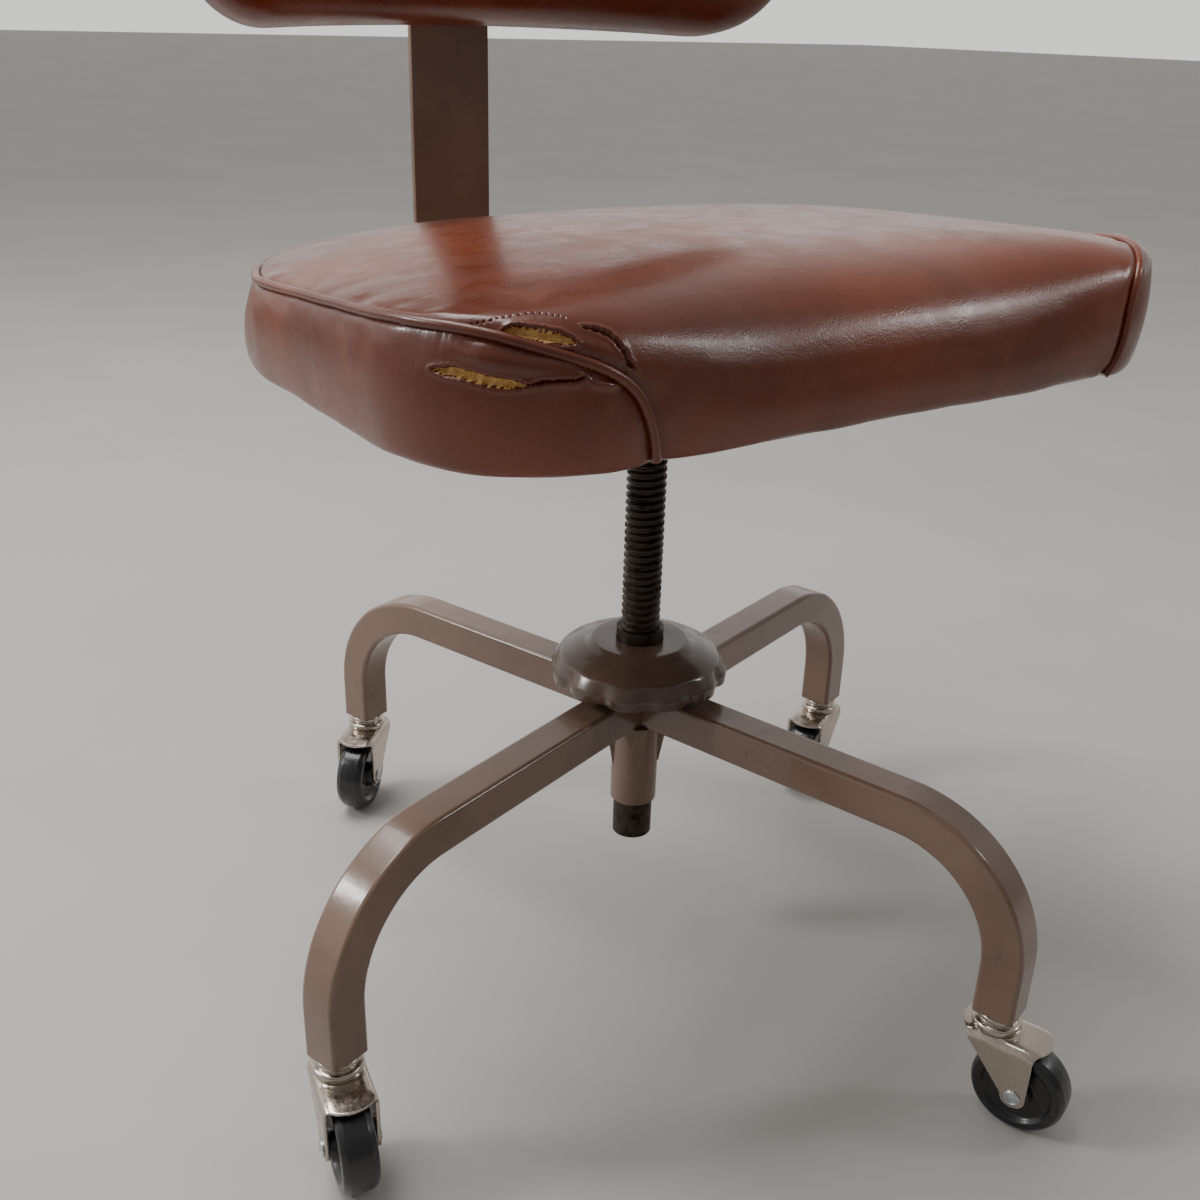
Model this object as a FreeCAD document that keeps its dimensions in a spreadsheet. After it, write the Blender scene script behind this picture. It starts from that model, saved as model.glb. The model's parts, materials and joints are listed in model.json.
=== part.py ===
import FreeCAD, Part
import math
import os
import sys
from types import SimpleNamespace

import Sketcher
from FreeCAD import Placement, Rotation, Vector

# Screw-lift swivel chair on four casters. Millimetres and degrees, +Z up.
# The origin is on the floor, under the swivel axis. The seat's front edge faces -Y,
# and the sitter's left is +X. The seat is at the middle of its lift.

# Every driving size, written once. The sheet in the document holds the same numbers.
SIZES = {
    # Base
    "tube_side": 25.4, "tube_wall": 2.1, "tube_corner": 3.0,
    "arm_height": 185.9, "arm_drop": 3.0, "foot_radius": 273.0, "foot_height": 75.0,
    "bend_radius": 76.2, "mitre_gap": 0.1,
    "hub_outer": 31.75, "hub_wall": 2.4, "hub_bottom": 110.0,
    "gusset_reach": 6.0, "gusset_drop": 34.0, "gusset_thickness": 9.0,
    # Casters
    "wheel_diameter": 57.2, "wheel_width": 21.0, "wheel_round": 6.0, "wheel_boss": 9.0,
    "axle_diameter": 6.35, "axle_head": 9.0, "axle_head_rise": 1.7, "bushing_wall": 1.5,
    "fork_inside": 27.0, "fork_plate": 2.2, "fork_top_gap": 3.8, "fork_crown": 2.6,
    "fork_crown_radius": 18.5, "fork_hood": 34.0, "fork_tail_radius": 7.5, "caster_trail": 20.5,
    "stem_diameter": 11.1, "stem_length": 40.0, "stem_head": 15.0, "stem_head_rise": 1.4,
    "cap_radius": 14.6, "cap_plate": 1.6, "cap_skirt": 1.8, "cap_gap": 0.8,
    "caster_ball": 4.0, "caster_ball_circle": 19.0, "socket_length": 30.0,
    "cheek_shoulder": 4.0, "cheek_waist": 2.0, "ball_play": 0.01,
    # Lift
    "screw_diameter": 25.4, "thread_pitch": 5.08, "thread_depth": 2.2, "thread_start": 118.0,
    "thread_end": 388.0, "pilot_diameter": 16.0, "guide_bottom": 82.0, "guide_length": 30.0,
    "guide_recess": 10.0, "guide_bolt_size": 10.0, "guide_bolt_hex": 8.5, "washer_thickness": 2.0,
    "bolt_head_rise": 5.6,
    "race_radius": 22.0, "race_thickness": 1.9, "race_groove": 0.6, "lift_ball": 3.97,
    "lift_ball_circle": 38.0, "nut_flange": 4.0, "nut_radius": 15.5, "nut_top": 240.0,
    # Handwheel
    "wheel_rim_radius": 58.5, "wheel_rim_bottom": 205.5, "wheel_rim_top": 213.0,
    "wheel_crown_radius": 33.5, "wheel_crown_top": 232.0, "wheel_shell": 3.2,
    "wheel_hub_radius": 22.0, "scallop_radius": 9.0, "scallop_depth": 2.6, "grub_diameter": 6.0,
    # Seat support
    "seat_bottom": 430.0, "seat_lip": 2.0, "cover_thickness": 1.0, "plate_thickness": 3.0,
    "plate_width": 220.0, "plate_front": 90.0, "plate_back": 110.0, "plate_flange": 14.0,
    "socket_radius": 22.0, "spindle_top_diameter": 22.0, "spindle_socket_length": 36.0,
    "cross_pin": 6.0, "bolt_inset": 25.0, "bolt_setback": 15.0, "seat_bolt": 6.35,
    "seat_washer": 1.6, "seat_bolt_head": 4.445, "bolt_tail": 1.4, "socket_chamfer": 4.0,
    # Seat
    "seat_width": 476.0, "seat_front": 199.0, "seat_back": 182.0, "seat_front_corner": 78.0,
    "seat_back_corner": 172.0, "board_thickness": 12.7, "board_inset": 7.0,
    "pad_front": 497.0, "pad_crown": 503.0, "pad_rear": 474.0, "pad_nose": 34.0,
    "pad_nose_drop": 30.0, "tnut_radius": 9.0, "tnut_flange": 1.2, "tnut_barrel": 8.0, "tnut_end": 2.0,
    # Back bar and its guide
    "bar_width": 60.4, "bar_thickness": 5.0, "bar_distance": 250.0, "bar_bend": 45.0,
    "bar_top": 766.0, "bar_tail": 48.5, "guide_wall": 3.0, "guide_clearance": 0.3,
    "guide_front": 30.0, "guide_back": 150.0, "depth_travel": 25.0, "clamp_stud": 8.0,
    "slot_clearance": 1.0, "depth_knob_y": 115.0, "knob_radius": 22.0, "knob_height": 20.0,
    "knob_gap": 0.4, "stud_fit": 0.06,
    # Backrest
    "back_width": 430.0, "back_height": 216.0, "back_bottom": 590.0, "back_corner": 60.0,
    "back_curve": 460.0, "back_thickness": 46.0, "back_rear": 224.0, "back_board": 9.0,
    "back_cover": 2.0, "back_board_inset": 9.0, "height_travel_up": 40.0,
    "height_travel_down": 25.0, "saddle_height": 60.0, "saddle_wall": 4.0, "lug_gap": 30.4,
    "lug_thickness": 5.0, "lug_radius": 7.0, "pivot_pin": 8.0, "pivot_offset": 11.4,
    "bracket_width": 70.0, "bracket_height": 54.0, "bracket_plate": 3.0, "screw_shank": 4.0,
    "screw_head": 8.0, "screw_head_rise": 2.4, "screw_length": 9.0, "rear_clamp_height": 36.0,
    "pin_overhang": 1.5,
    # Fits shared by several pairs
    "running_fit": 0.07, "end_float": 0.2,
}

# Compass bearing of each leg about the swivel axis, and of its caster, from +X.
LEG_BEARINGS = {"right": 197.7, "front": 287.7, "left": 17.7, "rear": 107.7}
CASTER_BEARINGS = {"right": 259.6, "front": 290.4, "left": 203.0, "rear": 224.0}

CASTER_BALLS = 12
LIFT_BALLS = 22
SCALLOPS = 12
KNOB_FLUTES = 8
GROOVE_WIDTH = 3.7
GROOVE_DEPTH = 1.4
NEAR = 0.01
SHORTEST_UPRIGHT = 0.5
SHEET = "Sizes"

doc = FreeCAD.newDocument("SwivelChair")
sheet = doc.addObject("Spreadsheet::Sheet", SHEET)


class Size:
    """A number that also carries the sheet expression that gives it."""

    def __init__(self, value, text):
        self.value = value
        self.text = text

    def _join(self, other, sign, value):
        other = size(other)
        return Size(value(self.value, other.value), f"({self.text} {sign} {other.text})")

    def __add__(self, other):
        return self._join(other, "+", lambda a, b: a + b)

    def __sub__(self, other):
        return self._join(other, "-", lambda a, b: a - b)

    def __mul__(self, other):
        return self._join(other, "*", lambda a, b: a * b)

    def __truediv__(self, other):
        return self._join(other, "/", lambda a, b: a / b)

    def __rsub__(self, other):
        return size(other) - self

    def __radd__(self, other):
        return size(other) + self

    def __neg__(self):
        return Size(-self.value, f"(0 - {self.text})")

    def __float__(self):
        return float(self.value)


def size(number):
    """Turn a plain number into a Size; leave a Size as it is."""
    return number if isinstance(number, Size) else Size(float(number), f"({float(number):g})")


def fill_sheet():
    """Write every driving size to its own cell and name the cell."""
    named = {}
    for row, (name, number) in enumerate(SIZES.items(), start=1):
        sheet.set(f"A{row}", name)
        sheet.set(f"B{row}", str(number))
        sheet.setAlias(f"B{row}", name)
        named[name] = Size(number, f"{SHEET}.{name}")
    doc.recompute()
    return SimpleNamespace(**named)


d = fill_sheet()

# Heights and places that several pieces share.
half_tube = d.tube_side / 2
hub_inner = d.hub_outer / 2 - d.hub_wall
arm_top = d.arm_height + half_tube
wheel_radius = d.wheel_diameter / 2
crown_bottom = d.wheel_diameter + d.fork_top_gap
crown_top = crown_bottom + d.fork_crown
lower_race_top = arm_top + d.race_thickness
lift_ball_height = lower_race_top - d.race_groove + d.lift_ball / 2
upper_race_bottom = lift_ball_height + d.lift_ball / 2 - d.race_groove
flange_bottom = upper_race_bottom + d.race_thickness
flange_top = flange_bottom + d.nut_flange
pilot_top = d.guide_bottom + d.guide_length + d.end_float
board_bottom = d.seat_bottom + d.seat_lip
board_top = board_bottom + d.board_thickness
plate_top = board_bottom - d.cover_thickness
plate_bottom = plate_top - d.plate_thickness
bar_top_face = plate_bottom - d.guide_wall - d.guide_clearance
bar_middle = bar_top_face - d.bar_thickness / 2
guide_floor = bar_top_face - d.bar_thickness - d.guide_clearance
back_middle = d.back_bottom + d.back_height / 2
back_axis = d.back_rear - d.back_curve - d.back_thickness / 2
bar_front = d.bar_distance - d.bar_thickness / 2
bar_back = d.bar_distance + d.bar_thickness / 2
saddle_front = bar_front - d.guide_clearance - d.saddle_wall
pivot_y = d.back_rear + d.pivot_offset


def bind(thing, path, amount):
    """Set one property of a document object from a size."""
    amount = size(amount)
    if abs(amount.value) > 0 or SHEET in amount.text:
        thing.setExpression(path, amount.text)


def place(thing, x=0, y=0, z=0):
    """Bind an object's position to the sheet."""
    for axis, amount in (("x", x), ("y", y), ("z", z)):
        bind(thing, f"Placement.Base.{axis}", amount)
    return thing


def turn(thing, angle, axis=Vector(0, 0, 1), centre=Vector(0, 0, 0)):
    """Turn an object by an angle about an axis."""
    spin = Placement(Vector(0, 0, 0), Rotation(axis, angle), centre)
    thing.Placement = spin.multiply(thing.Placement)
    return thing


def box(name, x, y, z):
    """Make a box from three pairs of low and high limits."""
    solid = doc.addObject("Part::Box", name)
    for side, (low, high) in (("Length", x), ("Width", y), ("Height", z)):
        bind(solid, side, size(high) - low)
    return place(solid, x[0], y[0], z[0])


def cylinder(name, radius, low, high, x=0, y=0):
    """Make an upright cylinder between two heights."""
    solid = doc.addObject("Part::Cylinder", name)
    bind(solid, "Radius", radius)
    bind(solid, "Height", size(high) - low)
    return place(solid, x, y, low)


def rod(name, radius, low, high, along, a=0, b=0):
    """Make a cylinder that lies along X or Y between two limits.

    a and b are its other two coordinates, in X, Y, Z order.
    """
    solid = doc.addObject("Part::Cylinder", name)
    bind(solid, "Radius", radius)
    bind(solid, "Height", size(high) - low)
    if along == "X":
        solid.Placement.Rotation = Rotation(Vector(0, 1, 0), 90)
        return place(solid, low, a, b)
    solid.Placement.Rotation = Rotation(Vector(1, 0, 0), -90)
    return place(solid, a, low, b)


def cut(label, base, *tools):
    """Take the tools away from the base."""
    tool = tools[0] if len(tools) == 1 else fuse(label + "_cuts", *tools)
    result = doc.addObject("Part::Cut", label)
    result.Base, result.Tool = base, tool
    return result


def fuse(label, *shapes):
    """Join shapes into one solid."""
    result = doc.addObject("Part::MultiFuse", label)
    result.Shapes = list(shapes)
    result.Refine = True
    return result


def common(label, *shapes):
    """Keep what all the shapes share."""
    result = doc.addObject("Part::MultiCommon", label)
    result.Shapes = list(shapes)
    return result


def group(label, *shapes):
    """Gather separate identical solids in one node."""
    result = doc.addObject("Part::Compound", label)
    result.Links = list(shapes)
    return result


def new_body(label):
    """Start a PartDesign body."""
    return doc.addObject("PartDesign::Body", label)


def sketch_on(body, role, name, lift=None):
    """Attach a new sketch to one of the body's own origin planes."""
    drawing = body.newObject("Sketcher::SketchObject", name)
    plane = next(f for f in body.Origin.OriginFeatures if f.Role == role)
    drawing.AttachmentSupport = (plane, [""])
    drawing.MapMode = "FlatFace"
    if lift is not None:
        bind(drawing, "AttachmentOffset.Base.z", lift)
    return drawing


def pin_point(drawing, geometry, end, x, y):
    """Hold one point of a sketch at x, y, both bound to the sheet."""
    for kind, axis, amount in (("DistanceX", -2, size(x)), ("DistanceY", -1, size(y))):
        if abs(amount.value) < 1e-9:
            drawing.addConstraint(Sketcher.Constraint("PointOnObject", geometry, end, axis))
            continue
        index = drawing.addConstraint(Sketcher.Constraint(kind, -1, 1, geometry, end, amount.value))
        drawing.setExpression(f"Constraints[{index}]", amount.text)


def polygon(drawing, points):
    """Draw a closed outline through points whose coordinates are sizes."""
    spots = [Vector(float(x), float(y), 0) for x, y in points]
    count = len(spots)
    first = drawing.GeometryCount
    lines = [Part.LineSegment(spots[i], spots[(i + 1) % count]) for i in range(count)]
    drawing.addGeometry(lines, False)
    joins = [Sketcher.Constraint("Coincident", first + i, 2, first + (i + 1) % count, 1)
             for i in range(count)]
    drawing.addConstraint(joins)
    for i, (x, y) in enumerate(points):
        pin_point(drawing, first + i, 1, x, y)


def rounded_rectangle(drawing, low, high, corner):
    """Draw a rectangle with rounded corners between two opposite points."""
    (x0, y0), (x1, y1) = [(float(x), float(y)) for x, y in (low, high)]
    r = float(corner)
    first = drawing.GeometryCount
    ends = [((x0 + r, y0), (x1 - r, y0)), ((x1, y0 + r), (x1, y1 - r)),
            ((x1 - r, y1), (x0 + r, y1)), ((x0, y1 - r), (x0, y0 + r))]
    centres = [(x1 - r, y0 + r), (x1 - r, y1 - r), (x0 + r, y1 - r), (x0 + r, y0 + r)]
    for side in range(4):
        a, b = [Vector(x, y, 0) for x, y in ends[side]]
        drawing.addGeometry(Part.LineSegment(a, b), False)
        round_corner = Part.Circle(Vector(*centres[side], 0), Vector(0, 0, 1), r)
        start = math.radians(-90 + 90 * side)
        drawing.addGeometry(Part.ArcOfCircle(round_corner, start, start + math.pi / 2), False)
    for side in range(4):
        line, arc, after = first + 2 * side, first + 2 * side + 1, first + (2 * side + 2) % 8
        drawing.addConstraint(Sketcher.Constraint("Tangent", line, 2, arc, 1))
        drawing.addConstraint(Sketcher.Constraint("Tangent", arc, 2, after, 1))
        drawing.addConstraint(Sketcher.Constraint("Horizontal" if side % 2 == 0 else "Vertical", line))
        if side:
            drawing.addConstraint(Sketcher.Constraint("Equal", first + 1, arc))
    index = drawing.addConstraint(Sketcher.Constraint("Radius", first + 1, r))
    drawing.setExpression(f"Constraints[{index}]", size(corner).text)
    pin_one(drawing, first, 1, "DistanceY", low[1])
    pin_one(drawing, first + 2, 1, "DistanceX", high[0])
    pin_one(drawing, first + 4, 1, "DistanceY", high[1])
    pin_one(drawing, first + 6, 1, "DistanceX", low[0])


def pin_one(drawing, geometry, end, kind, amount):
    """Hold one coordinate of a sketch point at a size."""
    amount = size(amount)
    index = drawing.addConstraint(Sketcher.Constraint(kind, -1, 1, geometry, end, amount.value))
    drawing.setExpression(f"Constraints[{index}]", amount.text)


def circle(drawing, x, y, radius):
    """Draw a circle with its centre and radius bound to the sheet."""
    outline = Part.Circle(Vector(float(x), float(y), 0), Vector(0, 0, 1), float(radius))
    index = drawing.addGeometry(outline, False)
    pin_point(drawing, index, 3, x, y)
    held = drawing.addConstraint(Sketcher.Constraint("Radius", index, float(radius)))
    drawing.setExpression(f"Constraints[{held}]", size(radius).text)


def pad(body, drawing, length, both_ways=False):
    """Raise a sketch into a solid."""
    feature = body.newObject("PartDesign::Pad", drawing.Name + "_pad")
    feature.Profile = drawing
    if both_ways:
        feature.SideType = "Symmetric"
    bind(feature, "Length", length)
    drawing.Visibility = False
    doc.recompute()
    return feature


def pocket_through(body, drawing):
    """Cut a sketch through the whole body, both ways, and check that it cut."""
    before = body.Shape.Volume
    feature = body.newObject("PartDesign::Pocket", drawing.Name + "_pocket")
    feature.Profile = drawing
    feature.Type = "ThroughAll"
    feature.SideType = "Symmetric"
    doc.recompute()
    if not body.Shape.Volume < before - 1e-6:
        sys.exit(f"{drawing.Name} cuts nothing")
    return feature


def lathe(label, points):
    """Turn a closed outline of (radius, height) points about the Z axis."""
    body = new_body(label)
    drawing = sketch_on(body, "XZ_Plane", label + "_profile")
    polygon(drawing, points)
    feature = body.newObject("PartDesign::Revolution", label + "_turned")
    feature.Profile = drawing
    feature.ReferenceAxis = (drawing, ["V_Axis"])
    feature.Angle = 360.0
    doc.recompute()
    return body


def ring(label, inner, outer, low, high):
    """Make a plain ring about the Z axis."""
    return lathe(label, [(inner, low), (outer, low), (outer, high), (inner, high)])


def polar_copies(label, source, count, centre=Vector(0, 0, 0)):
    """Gather equally spaced copies of an object about the Z axis in one node."""
    copies = []
    for number in range(count):
        copy = doc.addObject("Part::Feature", f"{label}_{number}")
        copy.Shape = source.Shape
        copies.append(turn(copy, 360.0 * number / count, centre=centre))
    return group(label, *copies)


def race_grooving():
    """Half width and depth of the V groove that clears a ball seated race_groove deep."""
    return d.race_groove * GROOVE_WIDTH, d.race_groove * GROOVE_DEPTH


# ---------------------------------------------------------------- base

def leg(name):
    """One square-tube leg: arm, large bend and short foot, mitred to meet at the hub."""
    body = new_body(f"leg_{name}")
    path = sketch_on(body, "XZ_Plane", f"leg_{name}_path")
    slope = math.atan2(float(d.arm_drop), float(d.foot_radius))
    tangent = float(d.bend_radius) * math.tan((math.pi / 2 - slope) / 2)
    corner = Vector(float(d.foot_radius), float(d.arm_height - d.arm_drop), 0)
    arm_end = corner - Vector(math.cos(slope), -math.sin(slope), 0) * tangent
    foot_start = corner - Vector(0, tangent, 0)
    centre = foot_start - Vector(float(d.bend_radius), 0, 0)
    bend = Part.Circle(centre, Vector(0, 0, 1), float(d.bend_radius))
    path.addGeometry([
        Part.LineSegment(Vector(0, float(d.arm_height), 0), arm_end),
        Part.ArcOfCircle(bend, 0.0, math.pi / 2 - slope),
        Part.LineSegment(foot_start, Vector(float(d.foot_radius), float(d.foot_height), 0))], False)
    path.addConstraint([
        Sketcher.Constraint("Tangent", 0, 2, 1, 2), Sketcher.Constraint("Tangent", 1, 1, 2, 1),
        Sketcher.Constraint("Vertical", 2)])
    pin_point(path, 0, 1, 0, d.arm_height)
    pin_point(path, 2, 2, d.foot_radius, d.foot_height)
    held = path.addConstraint(Sketcher.Constraint("Radius", 1, float(d.bend_radius)))
    path.setExpression(f"Constraints[{held}]", d.bend_radius.text)
    # The line of the arm, carried on, falls by arm_drop over foot_radius.
    guide = path.addGeometry(Part.LineSegment(arm_end, corner), True)
    path.addConstraint([Sketcher.Constraint("Coincident", 0, 2, guide, 1),
                        Sketcher.Constraint("Parallel", 0, guide)])
    pin_point(path, guide, 2, d.foot_radius, d.arm_height - d.arm_drop)
    section = sketch_on(body, "YZ_Plane", f"leg_{name}_section")
    section.AttachmentOffset = Placement(Vector(0, 0, 0), Rotation(Vector(1, 0, 0), math.degrees(slope)))
    bind(section, "AttachmentOffset.Base.y", d.arm_height)
    inside = half_tube - d.tube_wall
    for half, corner_radius in ((half_tube, d.tube_corner), (inside, d.tube_corner - d.tube_wall)):
        rounded_rectangle(section, (-half, -half), (half, half), corner_radius)
    doc.recompute()
    pipe = body.newObject("PartDesign::AdditivePipe", f"leg_{name}_tube")
    pipe.Profile = section
    pipe.Spine = (path, ["Edge1", "Edge2", "Edge3"])
    doc.recompute()
    mitre = sketch_on(body, "XY_Plane", f"leg_{name}_mitre")
    reach = d.tube_side * 2
    polygon(mitre, [(-reach, -reach), (reach + d.mitre_gap, -reach), (d.mitre_gap, 0),
                    (reach + d.mitre_gap, reach), (-reach, reach)])
    pocket_through(body, mitre)
    bore = sketch_on(body, "XY_Plane", f"leg_{name}_bore")
    circle(bore, 0, 0, d.hub_outer / 2)
    pocket_through(body, bore)
    turn(body, LEG_BEARINGS[name])


def base():
    """The four legs, the hub tube, its gussets, the caster sockets and the lower race."""
    for name in LEG_BEARINGS:
        leg(name)
    ring("hub_tube", hub_inner, d.hub_outer / 2, d.hub_bottom, arm_top)
    gussets = []
    for name, bearing in LEG_BEARINGS.items():
        gusset = new_body(f"gusset_{name}")
        side = sketch_on(gusset, "XZ_Plane", f"gusset_{name}_side")
        arm_bottom = d.arm_height - half_tube - d.gusset_reach / 20
        inner = d.hub_outer / 2
        polygon(side, [(inner, arm_bottom - d.gusset_drop), (inner + d.gusset_reach, arm_bottom),
                       (inner - d.hub_wall, arm_bottom), (inner - d.hub_wall, arm_bottom - d.gusset_drop)])
        pad(gusset, side, d.gusset_thickness, both_ways=True)
        round_seat = sketch_on(gusset, "XY_Plane", f"gusset_{name}_seat")
        circle(round_seat, 0, 0, inner)
        pocket_through(gusset, round_seat)
        gussets.append(turn(gusset, bearing + 45))
    group("hub_gussets", *gussets)
    sockets = []
    for name, bearing in LEG_BEARINGS.items():
        block = cylinder(f"socket_{name}_block", half_tube - d.tube_wall, d.foot_height,
                         d.foot_height + d.socket_length, x=d.foot_radius)
        bore = cylinder(f"socket_{name}_bore", d.stem_diameter / 2, d.foot_height,
                        d.foot_height + d.socket_length, x=d.foot_radius)
        sockets.append(turn(cut(f"socket_{name}", block, bore), bearing))
    group("caster_sockets", *sockets)


# ---------------------------------------------------------------- casters

def caster_parts(name):
    """The pieces of one caster, drawn about its own swivel axis with the wheel towards +X."""
    x = d.caster_trail
    half_inside = d.fork_inside / 2
    outside = half_inside + d.fork_plate
    crown = cylinder(f"crown_{name}", d.fork_crown_radius, crown_bottom, crown_top)
    hood = box(f"hood_{name}", (0, d.fork_hood), (-outside, outside), (crown_bottom, crown_top))
    stem_hole = cylinder(f"stem_hole_{name}", d.stem_diameter / 2 + d.running_fit,
                         crown_bottom, crown_top)
    cheeks = []
    for side in (-1, 1):
        cheek = new_body(f"cheek_{name}_{'a' if side < 0 else 'b'}")
        outline = sketch_on(cheek, "XZ_Plane", cheek.Name + "_outline",
                            lift=half_inside if side < 0 else -outside)
        tail = d.fork_tail_radius
        waist, shoulder = wheel_radius + d.cheek_waist, crown_bottom - d.cheek_shoulder
        polygon(outline, [(-d.stem_diameter, crown_top), (-d.stem_diameter, shoulder),
                          (x - tail, waist), (x - tail, wheel_radius - tail),
                          (x + tail, wheel_radius - tail), (x + tail, waist),
                          (d.fork_hood, shoulder), (d.fork_hood, crown_top)])
        pad(cheek, outline, d.fork_plate)
        cheeks.append(cheek)
    axle_hole = rod(f"axle_hole_{name}", d.axle_diameter / 2, -outside, outside, "Y", x, wheel_radius)
    fork = cut(f"fork_drilled_{name}", fuse(f"fork_blank_{name}", crown, hood, *cheeks),
               stem_hole, axle_hole)
    shank = rod(f"axle_shank_{name}", d.axle_diameter / 2, -outside, outside, "Y", x, wheel_radius)
    heads = [rod(f"axle_head_{name}_{side}", d.axle_head / 2, low, high, "Y", x, wheel_radius)
             for side, low, high in (("a", -(outside + d.axle_head_rise), -outside),
                                     ("b", outside, outside + d.axle_head_rise))]
    axle = fuse(f"caster_{name}_axle", shank, *heads)
    bushing = bushing_ring(name, x)
    return fork, axle, bushing, caster_wheel(name, x)


def along_axle(solid, x):
    """Lay a turned piece on the wheel's axis."""
    solid.Placement = Placement(Vector(float(x), 0, float(wheel_radius)), Rotation(Vector(1, 0, 0), -90))
    return solid


def bushing_ring(name, x):
    """The plain bearing pressed in the wheel."""
    bore = d.axle_diameter / 2 + d.running_fit
    half = d.fork_inside / 2 - d.end_float
    return along_axle(ring(f"caster_{name}_bushing", bore, bore + d.bushing_wall, -half, half), x)


def caster_wheel(name, x):
    """The wheel: a rounded tread, a dished side and a boss."""
    bore = d.axle_diameter / 2 + d.running_fit + d.bushing_wall
    half = d.wheel_width / 2
    boss = d.fork_inside / 2 - d.end_float * 2
    rim = wheel_radius
    shoulder = rim - d.wheel_round / 2
    web = half - d.wheel_round / 2
    side = [(bore, boss), (d.wheel_boss, boss), (d.wheel_boss + 1, web), (shoulder - d.wheel_round, web),
            (shoulder - d.wheel_round / 2, half), (shoulder, half), (rim - d.wheel_round / 8, half / 2),
            (rim, half / 4)]
    points = side + [(r, -z) for r, z in reversed(side)]
    return along_axle(lathe(f"caster_{name}_wheel", points), x)


def casters():
    """Four casters, each turned to its own heading under its leg, with stems, caps and balls."""
    stems, caps, balls = [], [], []
    ball_height = crown_top - d.race_groove + d.caster_ball / 2
    cap_floor = ball_height + d.caster_ball / 2 - d.race_groove
    stem_radius = d.stem_diameter / 2
    race = d.caster_ball_circle / 2
    groove, depth = race_grooving()
    for name, bearing in LEG_BEARINGS.items():
        pieces = list(caster_parts(name))
        stem = lathe(f"stem_{name}", [
            (0, crown_bottom - d.end_float / 2 - d.stem_head_rise),
            (d.stem_head / 2, crown_bottom - d.end_float / 2 - d.stem_head_rise),
            (d.stem_head / 2, crown_bottom - d.end_float / 2), (stem_radius, crown_bottom - d.end_float / 2),
            (stem_radius, crown_bottom + d.stem_length), (0, crown_bottom + d.stem_length)])
        cap = lathe(f"cap_{name}", [
            (stem_radius, cap_floor), (race - groove, cap_floor),
            (race, cap_floor + depth), (race + groove, cap_floor),
            (d.cap_radius - d.cap_skirt, cap_floor), (d.cap_radius - d.cap_skirt, crown_top + d.cap_gap),
            (d.cap_radius, crown_top + d.cap_gap), (d.cap_radius, cap_floor + d.cap_plate),
            (stem_radius + d.cap_skirt, d.foot_height), (stem_radius, d.foot_height)])
        ball = doc.addObject("Part::Sphere", f"caster_ball_{name}")
        bind(ball, "Radius", d.caster_ball / 2 - d.ball_play)
        place(ball, x=race, z=ball_height)
        doc.recompute()
        ball_ring = polar_copies(f"caster_balls_{name}", ball, CASTER_BALLS)
        heading = CASTER_BEARINGS[name]
        spot = Rotation(Vector(0, 0, 1), bearing).multVec(Vector(float(d.foot_radius), 0, 0))
        for piece in pieces + [stem, cap, ball_ring]:
            turn(piece, heading)
            piece.Placement = Placement(spot, Rotation()).multiply(piece.Placement)
        stems.append(stem)
        caps.append(cap)
        balls.append(ball_ring)
        # The crown's shallow raceway holds the balls.
        fork_race = doc.addObject("Part::Torus", f"raceway_{name}")
        bind(fork_race, "Radius1", race)
        bind(fork_race, "Radius2", d.caster_ball / 2)
        place(fork_race, z=ball_height)
        fork_race.Placement.Base = Vector(spot.x, spot.y, float(ball_height))
        cut(f"caster_{name}_fork", pieces[0], fork_race)
    group("caster_stems", *stems)
    group("caster_caps", *caps)
    group("caster_balls", *balls)


# ---------------------------------------------------------------- lift

def lift():
    """Thrust bearing, nut, handwheel, guide sleeve and screw."""
    race = d.lift_ball_circle / 2
    groove, depth = race_grooving()
    bore = hub_inner
    lathe("bearing_lower_race", [
        (bore, arm_top), (d.race_radius, arm_top), (d.race_radius, lower_race_top),
        (race + groove, lower_race_top), (race, lower_race_top - depth),
        (race - groove, lower_race_top), (bore, lower_race_top)])
    lathe("bearing_upper_race", [
        (bore, upper_race_bottom), (race - groove, upper_race_bottom),
        (race, upper_race_bottom + depth), (race + groove, upper_race_bottom),
        (d.race_radius, upper_race_bottom), (d.race_radius, flange_bottom), (bore, flange_bottom)])
    ball = doc.addObject("Part::Sphere", "lift_ball")
    bind(ball, "Radius", d.lift_ball / 2 - d.ball_play)
    place(ball, x=race, z=lift_ball_height)
    doc.recompute()
    polar_copies("bearing_balls", ball, LIFT_BALLS)
    nut_bore = d.screw_diameter / 2 + d.running_fit
    lathe("lift_nut", [
        (nut_bore, flange_bottom), (d.race_radius, flange_bottom), (d.race_radius, flange_top),
        (d.nut_radius, flange_top), (d.nut_radius, d.nut_top), (nut_bore, d.nut_top)])
    handwheel()
    guide_outer = hub_inner - d.running_fit
    lathe("spindle_guide", [
        (d.pilot_diameter / 2 + d.running_fit, d.guide_bottom + d.guide_recess),
        (d.pilot_diameter / 2 + d.washer_thickness, d.guide_bottom + d.guide_recess),
        (d.pilot_diameter / 2 + d.washer_thickness, d.guide_bottom), (guide_outer, d.guide_bottom),
        (guide_outer, d.guide_bottom + d.guide_length),
        (d.pilot_diameter / 2 + d.running_fit, d.guide_bottom + d.guide_length)])
    screw()


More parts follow.
